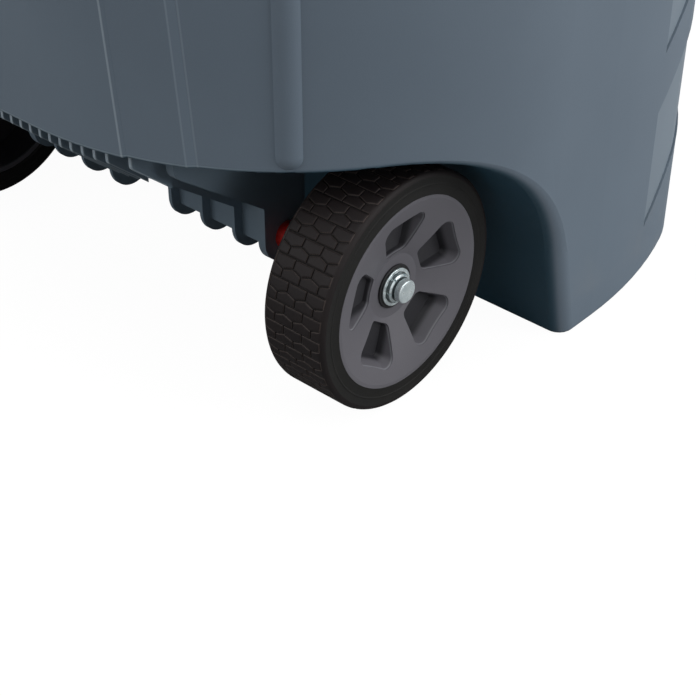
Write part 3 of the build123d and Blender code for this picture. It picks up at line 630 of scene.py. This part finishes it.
@dataclass(frozen=True)
class TreadRubber(Rubber):
    """Rubber with a painted highlight on the tread blocks' groove edges and painted shade at the groove
    bottoms.
    """

    # Colour of the painted highlight on the groove edges.
    groove_highlight: Colour = srgb(84, 74, 70)
    # Colour of the painted shade at the groove bottoms.
    groove: Colour = srgb(8, 7, 7)
    groove_range: Span = (0.3, 1.0)
    edge_from: Span = (0.02, 0.16)
    edge_to: Span = (0.3, 0.6)
    edge_strength: float = 0.5

    def shade(self, graph: Graph, base: Socket) -> Socket:
        """Colour by the tread's cut: a painted highlight where a groove starts, painted shade at its
        bottom.

        Args:
            graph: The material's graph.
            base: Colour of the blocks.

        Returns:
            The worn colour.
        """
        cut = graph.attribute("cut")
        edge = cut.band(self.edge_from, self.edge_to)
        # Painted shade at the groove bottoms.
        dark = graph.mix(cut.ramp(*self.groove_range), base, self.groove)
        # Painted highlight on the groove edges.
        return graph.mix(edge * self.edge_strength, dark, self.groove_highlight)


@dataclass(frozen=True)
class PlatedSteel(Finish):
    """Zinc plating with a fine spangle and drawn marks."""

    rough: float = 0.3
    metal: float = 0.5
    spangle: Noise = Noise(260.0, 4.0)
    spangle_range: Span = (0.3, 0.75)
    spangle_rough: float = 0.24
    spangle_metal: float = 0.3
    drawn: Noise = Noise(1.0, 3.0)
    drawn_stretch: Triple = (220.0, 2600.0, 2600.0)
    drawn_rough: float = 0.16
    drawn_depth: float = 0.05 * MM
    drawn_strength: float = 0.3

    def make(self) -> Material:
        """Build the material.

        Returns:
            The new material.
        """
        graph = Graph.material(self.name)
        spangle = graph.noise(self.spangle)
        drawn = graph.noise(self.drawn, at=graph.stretched(self.drawn_stretch))
        base = graph.mix(spangle.ramp(*self.spangle_range), self.colour, self.second)
        swing = spangle.centred() * self.spangle_rough + drawn.centred() * self.drawn_rough
        return graph.finish({
            "Base Color": self.shade(graph, base),
            "Metallic": self.metal + spangle.centred() * self.spangle_metal,
            "Roughness": self.rough + swing,
            "Normal": graph.bump(drawn, self.drawn_depth, self.drawn_strength),
        })


@dataclass(frozen=True)
class ShadedAxleSteel(PlatedSteel):
    """Zinc plating of an axle end, with painted shade round the cap's neck and in a ring at the nut's
    edge.
    """

    node: str = "push_nut_right"
    # Colour of the painted shade round the cap's neck and at the nut's edge.
    axle_shade: Colour = srgb(34, 46, 50)
    shade_amount: float = 0.85
    shade_soft: float = 0.3 * MM
    neck_radius: float = 8.9 * MM
    edge_ring: Span = (10.9 * MM, 11.5 * MM)
    cap_length: float = 6.4 * MM
    cap_start: Span = (0.9 * MM, 1.2 * MM)

    def shade(self, graph: Graph, base: Socket) -> Socket:
        """Colour with painted shade within the neck's radius behind the cap, and in the edge's ring.

        Args:
            graph: The material's graph.
            base: Colour of the clean plating.

        Returns:
            The colour with the painted shade.
        """
        depth, radius = graph.round_axle(self.node)
        neck = radius.fade(self.neck_radius, self.neck_radius + self.shade_soft)
        ring = radius.within(self.edge_ring, self.shade_soft)
        behind = (self.cap_length - depth).fade(*self.cap_start)
        # Painted shade under the cap and in the ring at the nut's edge.
        return graph.mix((neck + ring).clip() * behind * self.shade_amount, base, self.axle_shade)


@dataclass(frozen=True)
class CoatedSteel(Finish):
    """Powder coat with an orange-peel skin and lighter rubbed spots."""

    rough: float = 0.42
    peel: Noise = Noise(700.0, 2.0)
    peel_rough: float = 0.12
    peel_depth: float = 0.2 * MM
    peel_strength: float = 0.3
    wear: Noise = Noise(48.0, 6.0)
    wear_range: Span = (0.6, 0.82)
    wear_tone: float = 0.55
    wear_rough: float = 0.12

    def make(self) -> Material:
        """Build the material.

        Returns:
            The new material.
        """
        graph = Graph.material(self.name)
        peel = graph.noise(self.peel)
        wear = graph.noise(self.wear).ramp(*self.wear_range)
        return graph.finish({
            "Base Color": self.shade(graph, graph.mix(wear * self.wear_tone, self.colour, self.second)),
            "Roughness": self.rough + wear * self.wear_rough + peel.centred() * self.peel_rough,
            "Normal": graph.bump(peel, self.peel_depth, self.peel_strength),
        })


SLATE = (srgb(96, 109, 122), srgb(105, 119, 132))
# Tub plastic with painted shade in the wheel space and painted highlights on its edges and facets.
TUB_PLASTIC = TubPlastic("tub_plastic", *SLATE)
LID_PLASTIC = MouldedPlastic("lid_plastic", *SLATE, grain_strength=0.3)
# Carrier plastic with a painted highlight on the fin edges.
CARRIER_PLASTIC = CombPlastic("carrier_plastic", srgb(98, 114, 127), srgb(106, 122, 135), rough=0.5)
BLACK_PLASTIC = MouldedPlastic("black_plastic", srgb(20, 20, 22), srgb(27, 27, 29), rough=0.5)
RED_PLASTIC = MouldedPlastic("red_plastic", srgb(170, 26, 20), srgb(186, 34, 26), rough=0.4)
# Tread rubber with painted highlights on the groove edges and painted shade in the grooves.
TREAD_RUBBER = TreadRubber("tread_rubber", srgb(17, 12, 13), srgb(26, 20, 20))
WALL_RUBBER = Rubber("wall_rubber", srgb(17, 17, 16), srgb(26, 25, 24), rough=0.6)
GRIP_RUBBER = Rubber("grip_rubber", srgb(26, 26, 27), srgb(40, 40, 41))
ZINC = PlatedSteel("zinc_plating", srgb(222, 233, 235), srgb(190, 203, 206))
# Axle-end plating with painted shade round the cap's neck and the nut's edge.
AXLE_ZINC = ShadedAxleSteel("axle_zinc", srgb(226, 237, 239), srgb(196, 209, 212))
BLACK_COAT = CoatedSteel("black_coat", srgb(38, 41, 44), srgb(84, 86, 88))


@dataclass
class Dresser:
    """Keeps each finish's material and gives it to CAD nodes and new pieces."""

    made: dict[str, Material] = field(default_factory=dict)

    def material(self, finish: Finish) -> Material:
        """The finish's material, built once."""
        made = self.made.get(finish.name) or finish.make()
        return self.made.setdefault(finish.name, made)

    def dress(self, finish: Finish, *nodes: str) -> None:
        """Give CAD nodes a finish.

        Args:
            finish: What the nodes are made of.
            nodes: Names of the CAD nodes.
        """
        for name in nodes:
            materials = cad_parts[name].data.materials
            materials.clear()
            materials.append(self.material(finish))
            LOG.info("dressed %s with %s", name, finish.name)


def into_scene(name: str, data: bpy.types.ID) -> bpy.types.Object:
    """Put a mesh, lamp or camera into the scene.

    Args:
        name: Name of the object.
        data: What the object shows.

    Returns:
        The new object.
    """
    obj = bpy.data.objects.new(name, data)
    bpy.context.scene.collection.objects.link(obj)
    return obj


def grid_mesh(name: str, points: Grid, loop_u: bool, loop_v: bool, flip: bool = False) -> bpy.types.Mesh:
    """Mesh of a surface given on a grid of two parameters.

    Each grid cell becomes one quad between the points (u, v), (u+1, v), (u+1, v+1) and (u, v+1).

    Args:
        name: Name of the mesh.
        points: Array of shape (nu, nv, 3), in metres.
        loop_u: Whether the last row joins the first.
        loop_v: Whether the last column joins the first.
        flip: Whether to turn the faces round.

    Returns:
        The mesh, smooth shaded.
    """
    rows, columns = points.shape[:2]
    u = np.arange(rows if loop_u else rows - 1)
    v = np.arange(columns if loop_v else columns - 1)
    u, v = np.meshgrid(u, v, indexing="ij")
    next_u, next_v = (u + 1) % rows, (v + 1) % columns
    corners = [u * columns + v, next_u * columns + v, next_u * columns + next_v, u * columns + next_v]
    faces = np.stack(corners[::-1] if flip else corners, axis=-1).reshape(-1, 4)
    mesh = bpy.data.meshes.new(name)
    mesh.vertices.add(rows * columns)
    mesh.vertices.foreach_set("co", points.reshape(-1).astype(np.float32))
    mesh.loops.add(faces.size)
    mesh.loops.foreach_set("vertex_index", faces.reshape(-1).astype(np.int32))
    mesh.polygons.add(len(faces))
    mesh.polygons.foreach_set("loop_start", np.arange(0, faces.size, 4, dtype=np.int32))
    mesh.polygons.foreach_set("loop_total", np.full(len(faces), 4, dtype=np.int32))
    mesh.polygons.foreach_set("use_smooth", np.ones(len(faces), dtype=bool))
    mesh.update(calc_edges=True)
    mesh.validate()
    return mesh


def rounded_profile(points: list[Span], radius: float, steps: int) -> Grid:
    """Open profile through corner points, each inner corner rounded by an arc.

    A corner's arc starts and ends where a circle of the radius touches the two straight runs.

    Args:
        points: Corner points.
        radius: Radius at each inner corner.
        steps: Points on each arc.

    Returns:
        Array of profile points.
    """
    corners = np.array(points, float)
    out = [corners[:1]]
    for before, corner, after in zip(corners, corners[1:], corners[2:]):
        first = (before - corner) / np.linalg.norm(before - corner)
        second = (after - corner) / np.linalg.norm(after - corner)
        half = math.acos(float(np.clip(first @ second, -1, 1))) / 2
        reach = radius / math.tan(half)
        middle = corner + (first + second) / np.linalg.norm(first + second) * radius / math.sin(half)
        start, end = corner + first * reach - middle, corner + second * reach - middle
        spread = math.acos(float(np.clip(start @ end / radius**2, -1, 1)))
        share = np.linspace(0, 1, steps)[:, None]
        arc = (np.sin((1 - share) * spread) * start + np.sin(share * spread) * end) / math.sin(spread)
        out.append(middle + arc)
    out.append(corners[-1:])
    return np.concatenate(out)


def crowded(length: float, count: int, centres: Grid, half: float, gain: float, steps: int = 6000) -> Grid:
    """Places along a line that stand closer together near some centres.

    The places are even steps of the running total of a weight, which is the gain within the half
    width of a centre and 1 elsewhere.

    Args:
        length: Length of the line.
        count: Number of places, both ends among them.
        centres: Where the places crowd.
        half: Half width of a crowd.
        gain: How much closer they stand there.
        steps: Steps of the running total.

    Returns:
        Rising places from 0 to the length.
    """
    fine = np.linspace(0, length, steps)
    near = np.abs(fine[:, None] - np.asarray(centres)[None, :]).min(axis=1) < half
    total = np.cumsum(np.where(near, gain, 1.0))
    total = (total - total[0]) / (total[-1] - total[0])
    return np.interp(np.linspace(0, 1, count), total, fine)


def full_turn(count: int) -> Grid:
    """Even angles round a full turn, in radians."""
    return np.linspace(0, 2 * np.pi, count, endpoint=False)


@dataclass(frozen=True)
class Turning:
    """Place of a CAD node that is round about the axle line, for turned pieces to take."""

    node: str
    side: Side
    body: Body
    slot: str

    def extent(self) -> Triple:
        """The node's nearer and farther end along the axle, and its outer radius."""
        low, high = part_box(self.node)
        return (*sorted((abs(low.x), abs(high.x))), (high.z - low.z) / 2)

    def surface(self, profile: Grid, turns: Grid) -> Grid:
        """Surface of a profile carried round the node's axle line.

        A profile point (distance out along the axle, radius) at turn t lies at x = distance
        towards the side, and at y = radius * cos t and z = radius * sin t from the node's middle.

        Args:
            profile: Array of shape (nt, nv, 2) or (nv, 2), in metres.
            turns: Angles in radians.

        Returns:
            Array of shape (nt, nv, 3).
        """
        low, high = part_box(self.node)
        middle, angle = (low + high) / 2, turns[:, None]
        out = np.broadcast_to(profile, (len(turns), *profile.shape[-2:]))
        y = middle.y + out[..., 1] * np.cos(angle)
        z = middle.z + out[..., 1] * np.sin(angle)
        return np.stack([self.side.value * out[..., 0], y, z], axis=-1)

    def make(
        self, name: str, profile: Grid, turns: Grid, closed: bool, material: Material
    ) -> bpy.types.Object:
        """Turn a piece that rides on the node's body and replaces the node.

        Args:
            name: Name of the piece.
            profile: Array of (distance, radius), one for all turns or one for each.
            turns: Angles in radians.
            closed: Whether the profile is a loop.
            material: What the piece is made of.

        Returns:
            The new object.
        """
        mesh = grid_mesh(name, self.surface(profile, turns), True, closed, flip=self.side is Side.LEFT)
        mesh.materials.append(material)
        obj = into_scene(name, mesh)
        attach(obj, self.body.value)
        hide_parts(self.node)
        LOG.info("made %s with %d faces", name, len(mesh.polygons))
        return obj


class BushSizes(NamedTuple):
    """Radii of a flanged bush, and the width of its flange."""

    bore: float
    barrel: float
    flange: float
    width: float


@dataclass(frozen=True)
class FlangedBush(Turning):
    """Turned bush with a flange at its outer end, in the place of its CAD node."""

    finish: Finish
    sizes: BushSizes
    edge: float = 0.3 * MM
    edge_steps: int = 7
    turn_count: int = 160

    def section(self) -> Grid:
        """Closed loop with rounded corners, from the middle of the bore.

        Returns:
            Array of (distance, radius).
        """
        near, far, _ = self.extent()
        bore, barrel, flange, width = self.sizes
        middle, step = (near + far) / 2, far - width
        corners = [
            (middle, bore), (far, bore), (far, flange), (step, flange),
            (step, barrel), (near, barrel), (near, bore), (middle, bore),
        ]
        return rounded_profile(corners, self.edge, self.edge_steps)[:-1]

    def build(self, dresser: Dresser) -> None:
        """Make the bush in its node's place."""
        material = dresser.material(self.finish)
        self.make(f"turned_{self.node}", self.section(), full_turn(self.turn_count), True, material)


@dataclass
class Wheel:
    """One wheel: tread blocks, side walls, dished rim and hub bush."""

    side: Side
    radius: float = 89 * MM
    width: float = 54 * MM
    outer_x: float = 250 * MM
    bead_radius: float = 71.8 * MM
    shoulder: float = 4 * MM
    shoulder_steps: int = 24
    groove_count: int = 35
    groove_depth: float = 1.4 * MM
    groove_edge: Span = (0.275 * MM, 0.75 * MM)
    groove_ends: Span = (-50 * MM, -4 * MM)
    groove_fade: float = 2 * MM
    groove_phase: float = math.radians(137.0)
    zigzag_period: float = 16.2 * MM
    zigzag_high_x: float = -18.6 * MM
    zigzag_reach: float = 1.35 * MM
    zigzag_offset: float = 0.4 * MM
    link_range: tuple[int, int] = (-4, 3)
    row_count: int = 32
    row_crowd: Span = (0.85 * MM, 4.0)
    column_count: int = 86
    column_crowd: Span = (0.9 * MM, 6.0)
    ring_radius: float = 79.2 * MM
    ring_half: float = 0.9 * MM
    ring_rise: float = 0.3 * MM
    wall_sink: float = 0.5 * MM
    wall_columns: int = 40
    wall_turns: int = 280
    rim_colours: tuple[Colour, Colour] = (srgb(92, 91, 97), srgb(101, 100, 106))
    bush: BushSizes = BushSizes(6.4 * MM, 9.4 * MM, 16.4 * MM, 1.4 * MM)

    @property
    def body(self) -> Body:
        """The body this wheel's pieces ride on."""
        return Body[f"WHEEL_{self.side.name}"]

    @property
    def tyre(self) -> Turning:
        """The tyre's place."""
        return Turning(self.side.of("tyre"), self.side, self.body, "tyre_rubber")

    @property
    def pitch(self) -> float:
        """Angle from one straight groove to the next."""
        return 2 * np.pi / self.groove_count

    def groove_field(self, across: Grid, turns: Grid) -> Grid:
        """How deep the tread is cut at each point, from 0 to 1.

        The cut follows the shortest distance to three families of lines: straight lines across
        the tread once a pitch, a zigzag halfway between them, and short links from the zigzag's
        corners to the straight lines. It falls off as a smooth step at the groove's edge.

        Args:
            across: Distance from the outer face, negative inward, of shape (nv,).
            turns: Angles in radians, of shape (nt,).

        Returns:
            Array of shape (nt, nv).
        """
        span = self.pitch * self.radius
        along = ((turns - self.groove_phase) / self.pitch % 1.0)[:, None] * span
        straight = np.minimum(along, span - along)
        cycle = ((across - self.zigzag_high_x) / self.zigzag_period % 1.0)[None, :]
        swing = np.abs(cycle - 0.5) * 4 - 1
        middle = span / 2 + self.zigzag_offset - self.zigzag_reach * swing
        slope = math.hypot(1.0, 4 * self.zigzag_reach / self.zigzag_period)
        zigzag = np.abs(along - middle) / slope
        to_high = np.minimum(cycle, 1 - cycle) * self.zigzag_period
        to_low = np.abs(cycle - 0.5) * self.zigzag_period
        link = np.where(along < middle, to_high, to_low)
        nearest = np.minimum(np.minimum(straight, zigzag), link)
        cut = 1 - self._step(nearest, *self.groove_edge)
        inner, outer = self.groove_ends
        ends = self._step(across, inner - self.groove_fade, inner)
        ends = ends * (1 - self._step(across, outer, outer + self.groove_fade))
        return cut * ends[None, :]

    def turns(self) -> Grid:
        """Place the tread's rows, close together at the grooves.

        Returns:
            Angles in radians.
        """
        span = self.pitch * self.radius
        zigzag = span / 2 + self.zigzag_offset + np.linspace(-1, 1, 5) * self.zigzag_reach
        centres = np.concatenate([[0, span], zigzag])
        rows = crowded(span, self.row_count + 1, centres, *self.row_crowd)[:-1] / self.radius
        starts = self.groove_phase + np.arange(self.groove_count)[:, None] * self.pitch
        return (starts + rows).reshape(-1)

    @staticmethod
    def _step(values: Grid, low: float, high: float) -> Grid:
        """Smooth step from 0 at low to 1 at high."""
        share = np.clip((values - low) / (high - low), 0, 1)
        return share * share * (3 - 2 * share)

    def tread(self, material: Material) -> None:
        """Make the tread and shoulders with the block pattern cut in.

        The tyre's section, bead to bead with round shoulders, is resampled by its length between
        the shoulders' lower ends, closer at the links. Each point then moves inward towards the
        axle by the groove field.

        Args:
            material: Tread rubber.
        """
        inner, outer = self.outer_x - self.width, self.outer_x
        beads = [(inner, self.bead_radius), (outer, self.bead_radius)]
        corners = [beads[0], (inner, self.radius), (outer, self.radius), beads[1]]
        path = rounded_profile(corners, self.shoulder, self.shoulder_steps)[1:-1]
        steps = np.concatenate([[0], np.cumsum(np.linalg.norm(np.diff(path, axis=0), axis=1))])
        links = self.outer_x + self.zigzag_high_x + np.arange(*self.link_range) * self.zigzag_period / 2
        links = np.interp(links, path[:, 0], steps)
        at = crowded(steps[-1], self.column_count, links, *self.column_crowd)
        profile = np.stack([np.interp(at, steps, path[:, i]) for i in range(2)], axis=-1)
        turns = self.turns()
        cut = self.groove_field(profile[:, 0] - self.outer_x, turns)
        cut_profile = np.repeat(profile[None], len(turns), axis=0)
        cut_profile[..., 1] -= cut * self.groove_depth
        tread = self.tyre.make(self.side.of("tread"), cut_profile, turns, False, material)
        depth = tread.data.attributes.new("cut", "FLOAT", "POINT")
        depth.data.foreach_set("value", cut.reshape(-1).astype(np.float32))

    def walls(self, material: Material) -> None:
        """Make the side walls with a moulded ring, closed by the bead seat.

        The section runs from the outer shoulder's lower end down the wall, along the seat and up
        the inner wall. Each wall sinks by a half sine of its height, and a ring on it rises by a
        cosine of its radius.

        Args:
            material: Wall rubber.
        """
        share = np.linspace(1, 0, self.wall_columns)
        radii = self.bead_radius + share * (self.radius - self.shoulder - self.bead_radius)
        across = np.clip((radii - self.ring_radius) / self.ring_half, -1, 1)
        ring = self.ring_rise * (1 + np.cos(across * np.pi)) / 2
        sunk = self.wall_sink * np.sin(share * np.pi)
        outer = np.stack([self.outer_x - sunk + ring, radii], axis=-1)
        inner = outer[::-1].copy()
        inner[:, 0] = 2 * self.outer_x - self.width - inner[:, 0]
        profile = np.concatenate([outer, inner])
        self.tyre.make(self.side.of("side_walls"), profile, full_turn(self.wall_turns), False, material)

    def build(self, dresser: Dresser) -> None:
        """Make the tyre's pieces and the bush, and dress the rim.

        Args:
            dresser: Where materials come from.
        """
        self.tread(dresser.material(TREAD_RUBBER))
        self.walls(dresser.material(WALL_RUBBER))
        rim = self.side.of("wheel_rim")
        # Rim plastic with painted shade on the pocket floors and a painted highlight on their edges.
        dresser.dress(PocketedPlastic(f"plastic_{rim}", *self.rim_colours, node=rim), rim)
        place = (self.side.of("hub_bush"), self.side, self.body, "black_plastic")
        FlangedBush(*place, BLACK_PLASTIC, self.bush).build(dresser)


@dataclass
class AxleEnd:
    """Pressed washer and capped push nut at one end of the axle, with the bush and spacer behind."""

    side: Side
    bore: float = 6.37 * MM
    cone: float = 0.9 * MM
    ridge_count: int = 12
    ridge_rise: float = 0.5 * MM
    face_columns: int = 14
    turn_count: int = 180
    bush: BushSizes = BushSizes(6.35 * MM, 10.4 * MM, 15.4 * MM, 2 * MM)

    def pressed_washer(self, material: Material) -> None:
        """Make the pressed washer in its CAD node's place.

        A closed loop of (distance, radius) runs round the node's section. The outward face leans
        back by the cone towards its rim, and stands lower by the rise times a cosine of the turn.

        Args:
            material: Plating.
        """
        place = Turning(self.side.of("axle_washer"), self.side, Body.BASE, "zinc")
        near, far, outer = place.extent()
        share = np.linspace(0, 1, self.face_columns)
        face = np.stack([far - self.cone * share, self.bore + (outer - self.bore) * share], axis=-1)
        back = np.stack([np.full(2, near), [outer, self.bore]], axis=-1)
        profile = np.concatenate([face, back])
        turns = full_turn(self.turn_count)
        loops = np.repeat(profile[None], len(turns), axis=0)
        swell = np.sin(share * np.pi)[None, :] * (1 - np.cos(self.ridge_count * turns))[:, None] / 2
        loops[:, : len(share), 0] -= self.ridge_rise * swell
        place.make(self.side.of("pressed_washer"), loops, turns, True, material)

    def build(self, dresser: Dresser) -> None:
        """Make the washer and the bush, and dress the rest of the axle end.

        Args:
            dresser: Where materials come from.
        """
        self.pressed_washer(dresser.material(AXLE_ZINC))
        dresser.dress(AXLE_ZINC, self.side.of("push_nut"))
        place = (self.side.of("axle_bush"), self.side, Body.BASE, "red_plastic")
        FlangedBush(*place, RED_PLASTIC, self.bush).build(dresser)
        dresser.dress(BLACK_PLASTIC, self.side.of("axle_spacer"))


@dataclass
class Tub:
    """Moulded tub with its axle carrier, hinges, handle brackets and lock staple."""

    plated: tuple[str, ...] = (
        "axle", "carrier_screws", "hinge_screws", "handle_screws", "staple_screws", "lock_staple"
    )
    coated: tuple[str, ...] = ("hinge_tub_leaf", "handle_bracket")
    pins: tuple[str, ...] = ("hinge_pin", "handle_pin")

    def build(self, dresser: Dresser) -> None:
        """Dress the tub and what is fixed to it.

        Args:
            dresser: Where materials come from.
        """
        dresser.dress(TUB_PLASTIC, "tub")
        dresser.dress(CARRIER_PLASTIC, "axle_carrier")
        dresser.dress(ZINC, *self.plated)
        for side in Side:
            dresser.dress(BLACK_COAT, *map(side.of, self.coated))
            dresser.dress(ZINC, *map(side.of, self.pins))


@dataclass
class Lid:
    """Hinged lid with its leaves and the lock hasp."""

    plated: tuple[str, ...] = ("lid_hinge_screws", "lock_screws", "lock_hasp")

    def build(self, dresser: Dresser) -> None:
        """Dress the lid and what is fixed to it.

        Args:
            dresser: Where materials come from.
        """
        dresser.dress(LID_PLASTIC, "lid")
        dresser.dress(ZINC, *self.plated)
        dresser.dress(BLACK_COAT, *(side.of("hinge_lid_leaf") for side in Side))


@dataclass
class Handle:
    """Swinging bail with a ringed grip."""

    def build(self, dresser: Dresser) -> None:
        """Dress the bail and its grip."""
        dresser.dress(BLACK_COAT, "pull_handle")
        dresser.dress(GRIP_RUBBER, "handle_grip")


@dataclass
class Lamp:
    """One soft square lamp."""

    name: str
    place: Triple
    aim: Triple
    size: float
    power: float

    def build(self) -> None:
        """Hang the lamp."""
        data = bpy.data.lights.new(self.name, "AREA")
        data.shape = "SQUARE"
        data.size, data.energy = self.size, self.power
        obj = into_scene(self.name, data)
        obj.location = self.place
        way = Vector(self.aim) - Vector(self.place)
        obj.rotation_euler = way.to_track_quat("-Z", "Y").to_euler()


@dataclass
class Studio:
    """White room, soft lamps and the camera."""

    eye: Triple = (0.8439, -0.84348, 0.7148)
    right: Triple = (0.74594, 0.66601, 0.0)
    up: Triple = (-0.38774, 0.43433, 0.81303)
    back: Triple = (0.5415, -0.60646, 0.58222)
    lens: float = 84.88
    sensor: float = 36.0
    clip: Span = (0.05, 50.0)
    floor_half: float = 6.0
    floor_rows: int = 9
    floor_drop: float = 0.6 * MM
    floor_colour: Colour = (0.36, 0.36, 0.36)
    floor_white: float = 0.82
    floor_level: float = 1.18
    room_level: float = 0.12
    lamps: tuple[Lamp, ...] = (
        Lamp("top", (0.4, -0.7, 3.1), (0.1, -0.1, 0.2), 2.6, 46.0),
        Lamp("right", (2.7, 1.0, 1.2), (0.1, 0.1, 0.3), 1.8, 52.0),
        Lamp("left", (-1.2, -2.9, 2.0), (0.0, -0.1, 0.3), 2.0, 36.0),
        Lamp("rear", (1.0, 3.0, 1.3), (0.2, 0.2, 0.3), 1.6, 36.0),
    )

    @staticmethod
    def seen(graph: Graph, *kinds: str) -> Wire:
        """1 for rays of these kinds, 0 for the rest."""
        path = graph.node("ShaderNodeLightPath", {}, {})
        return sum(Wire(graph, path.outputs[kind]) for kind in kinds).clip()

    def world(self) -> None:
        """White surroundings that light the object at a plain level."""
        world = bpy.data.worlds.new("white_room")
        bpy.context.scene.world = world
        graph = Graph(world)
        plain = self.seen(graph, "Is Camera Ray", "Is Glossy Ray", "Is Transmission Ray")
        strength = self.room_level + (1.0 - self.room_level) * plain
        light = graph.node("ShaderNodeBackground", {}, {"Color": WHITE, "Strength": strength})
        graph.node("ShaderNodeOutputWorld", {}, {"Surface": light.outputs[0]})

    def floor(self) -> None:
        """Pale flat floor that keeps a soft shadow."""
        line = np.linspace(-self.floor_half, self.floor_half, self.floor_rows)
        x, y = np.meshgrid(line, line, indexing="ij")
        points = np.stack([x, y, np.full_like(x, -self.floor_drop)], axis=-1)
        mesh = grid_mesh("floor", points, False, False)
        graph = Graph.material("pale_floor")
        matte = graph.node("ShaderNodeBsdfDiffuse", {}, {"Color": (*self.floor_colour, 1.0)})
        white = graph.node("ShaderNodeEmission", {}, {"Color": WHITE, "Strength": self.floor_level})
        share = self.seen(graph, "Is Camera Ray") * self.floor_white
        both = graph.node("ShaderNodeMixShader", {}, {0: share, 1: matte.outputs[0], 2: white.outputs[0]})
        graph.node("ShaderNodeOutputMaterial", {}, {"Surface": both.outputs[0]})
        mesh.materials.append(graph.owner)
        into_scene("floor", mesh)

    def camera(self) -> None:
        """Camera at the photograph's angle."""
        data = bpy.data.cameras.new("camera")
        data.lens, data.sensor_width = self.lens, self.sensor
        data.clip_start, data.clip_end = self.clip
        data.dof.use_dof = False
        obj = into_scene("camera", data)
        turn = Matrix((self.right, self.up, self.back)).transposed().to_4x4()
        obj.matrix_world = Matrix.Translation(self.eye) @ turn
        bpy.context.scene.camera = obj

    def build(self) -> None:
        """Set up the whole room."""
        self.world()
        self.floor()
        for lamp in self.lamps:
            lamp.build()
        self.camera()
        bpy.context.scene.view_settings.view_transform = "Standard"


def main() -> None:
    """Build the room and every sub-assembly in order."""
    logging.basicConfig(level=logging.INFO, format="%(name)s: %(message)s")
    dresser = Dresser()
    Studio().build()
    ends = [kind(side) for kind in (Wheel, AxleEnd) for side in Side]
    for part in (Tub(), Lid(), Handle(), *ends):
        part.build(dresser)
        LOG.info("finished %s", type(part).__name__)


if __name__ == "__main__":
    main()
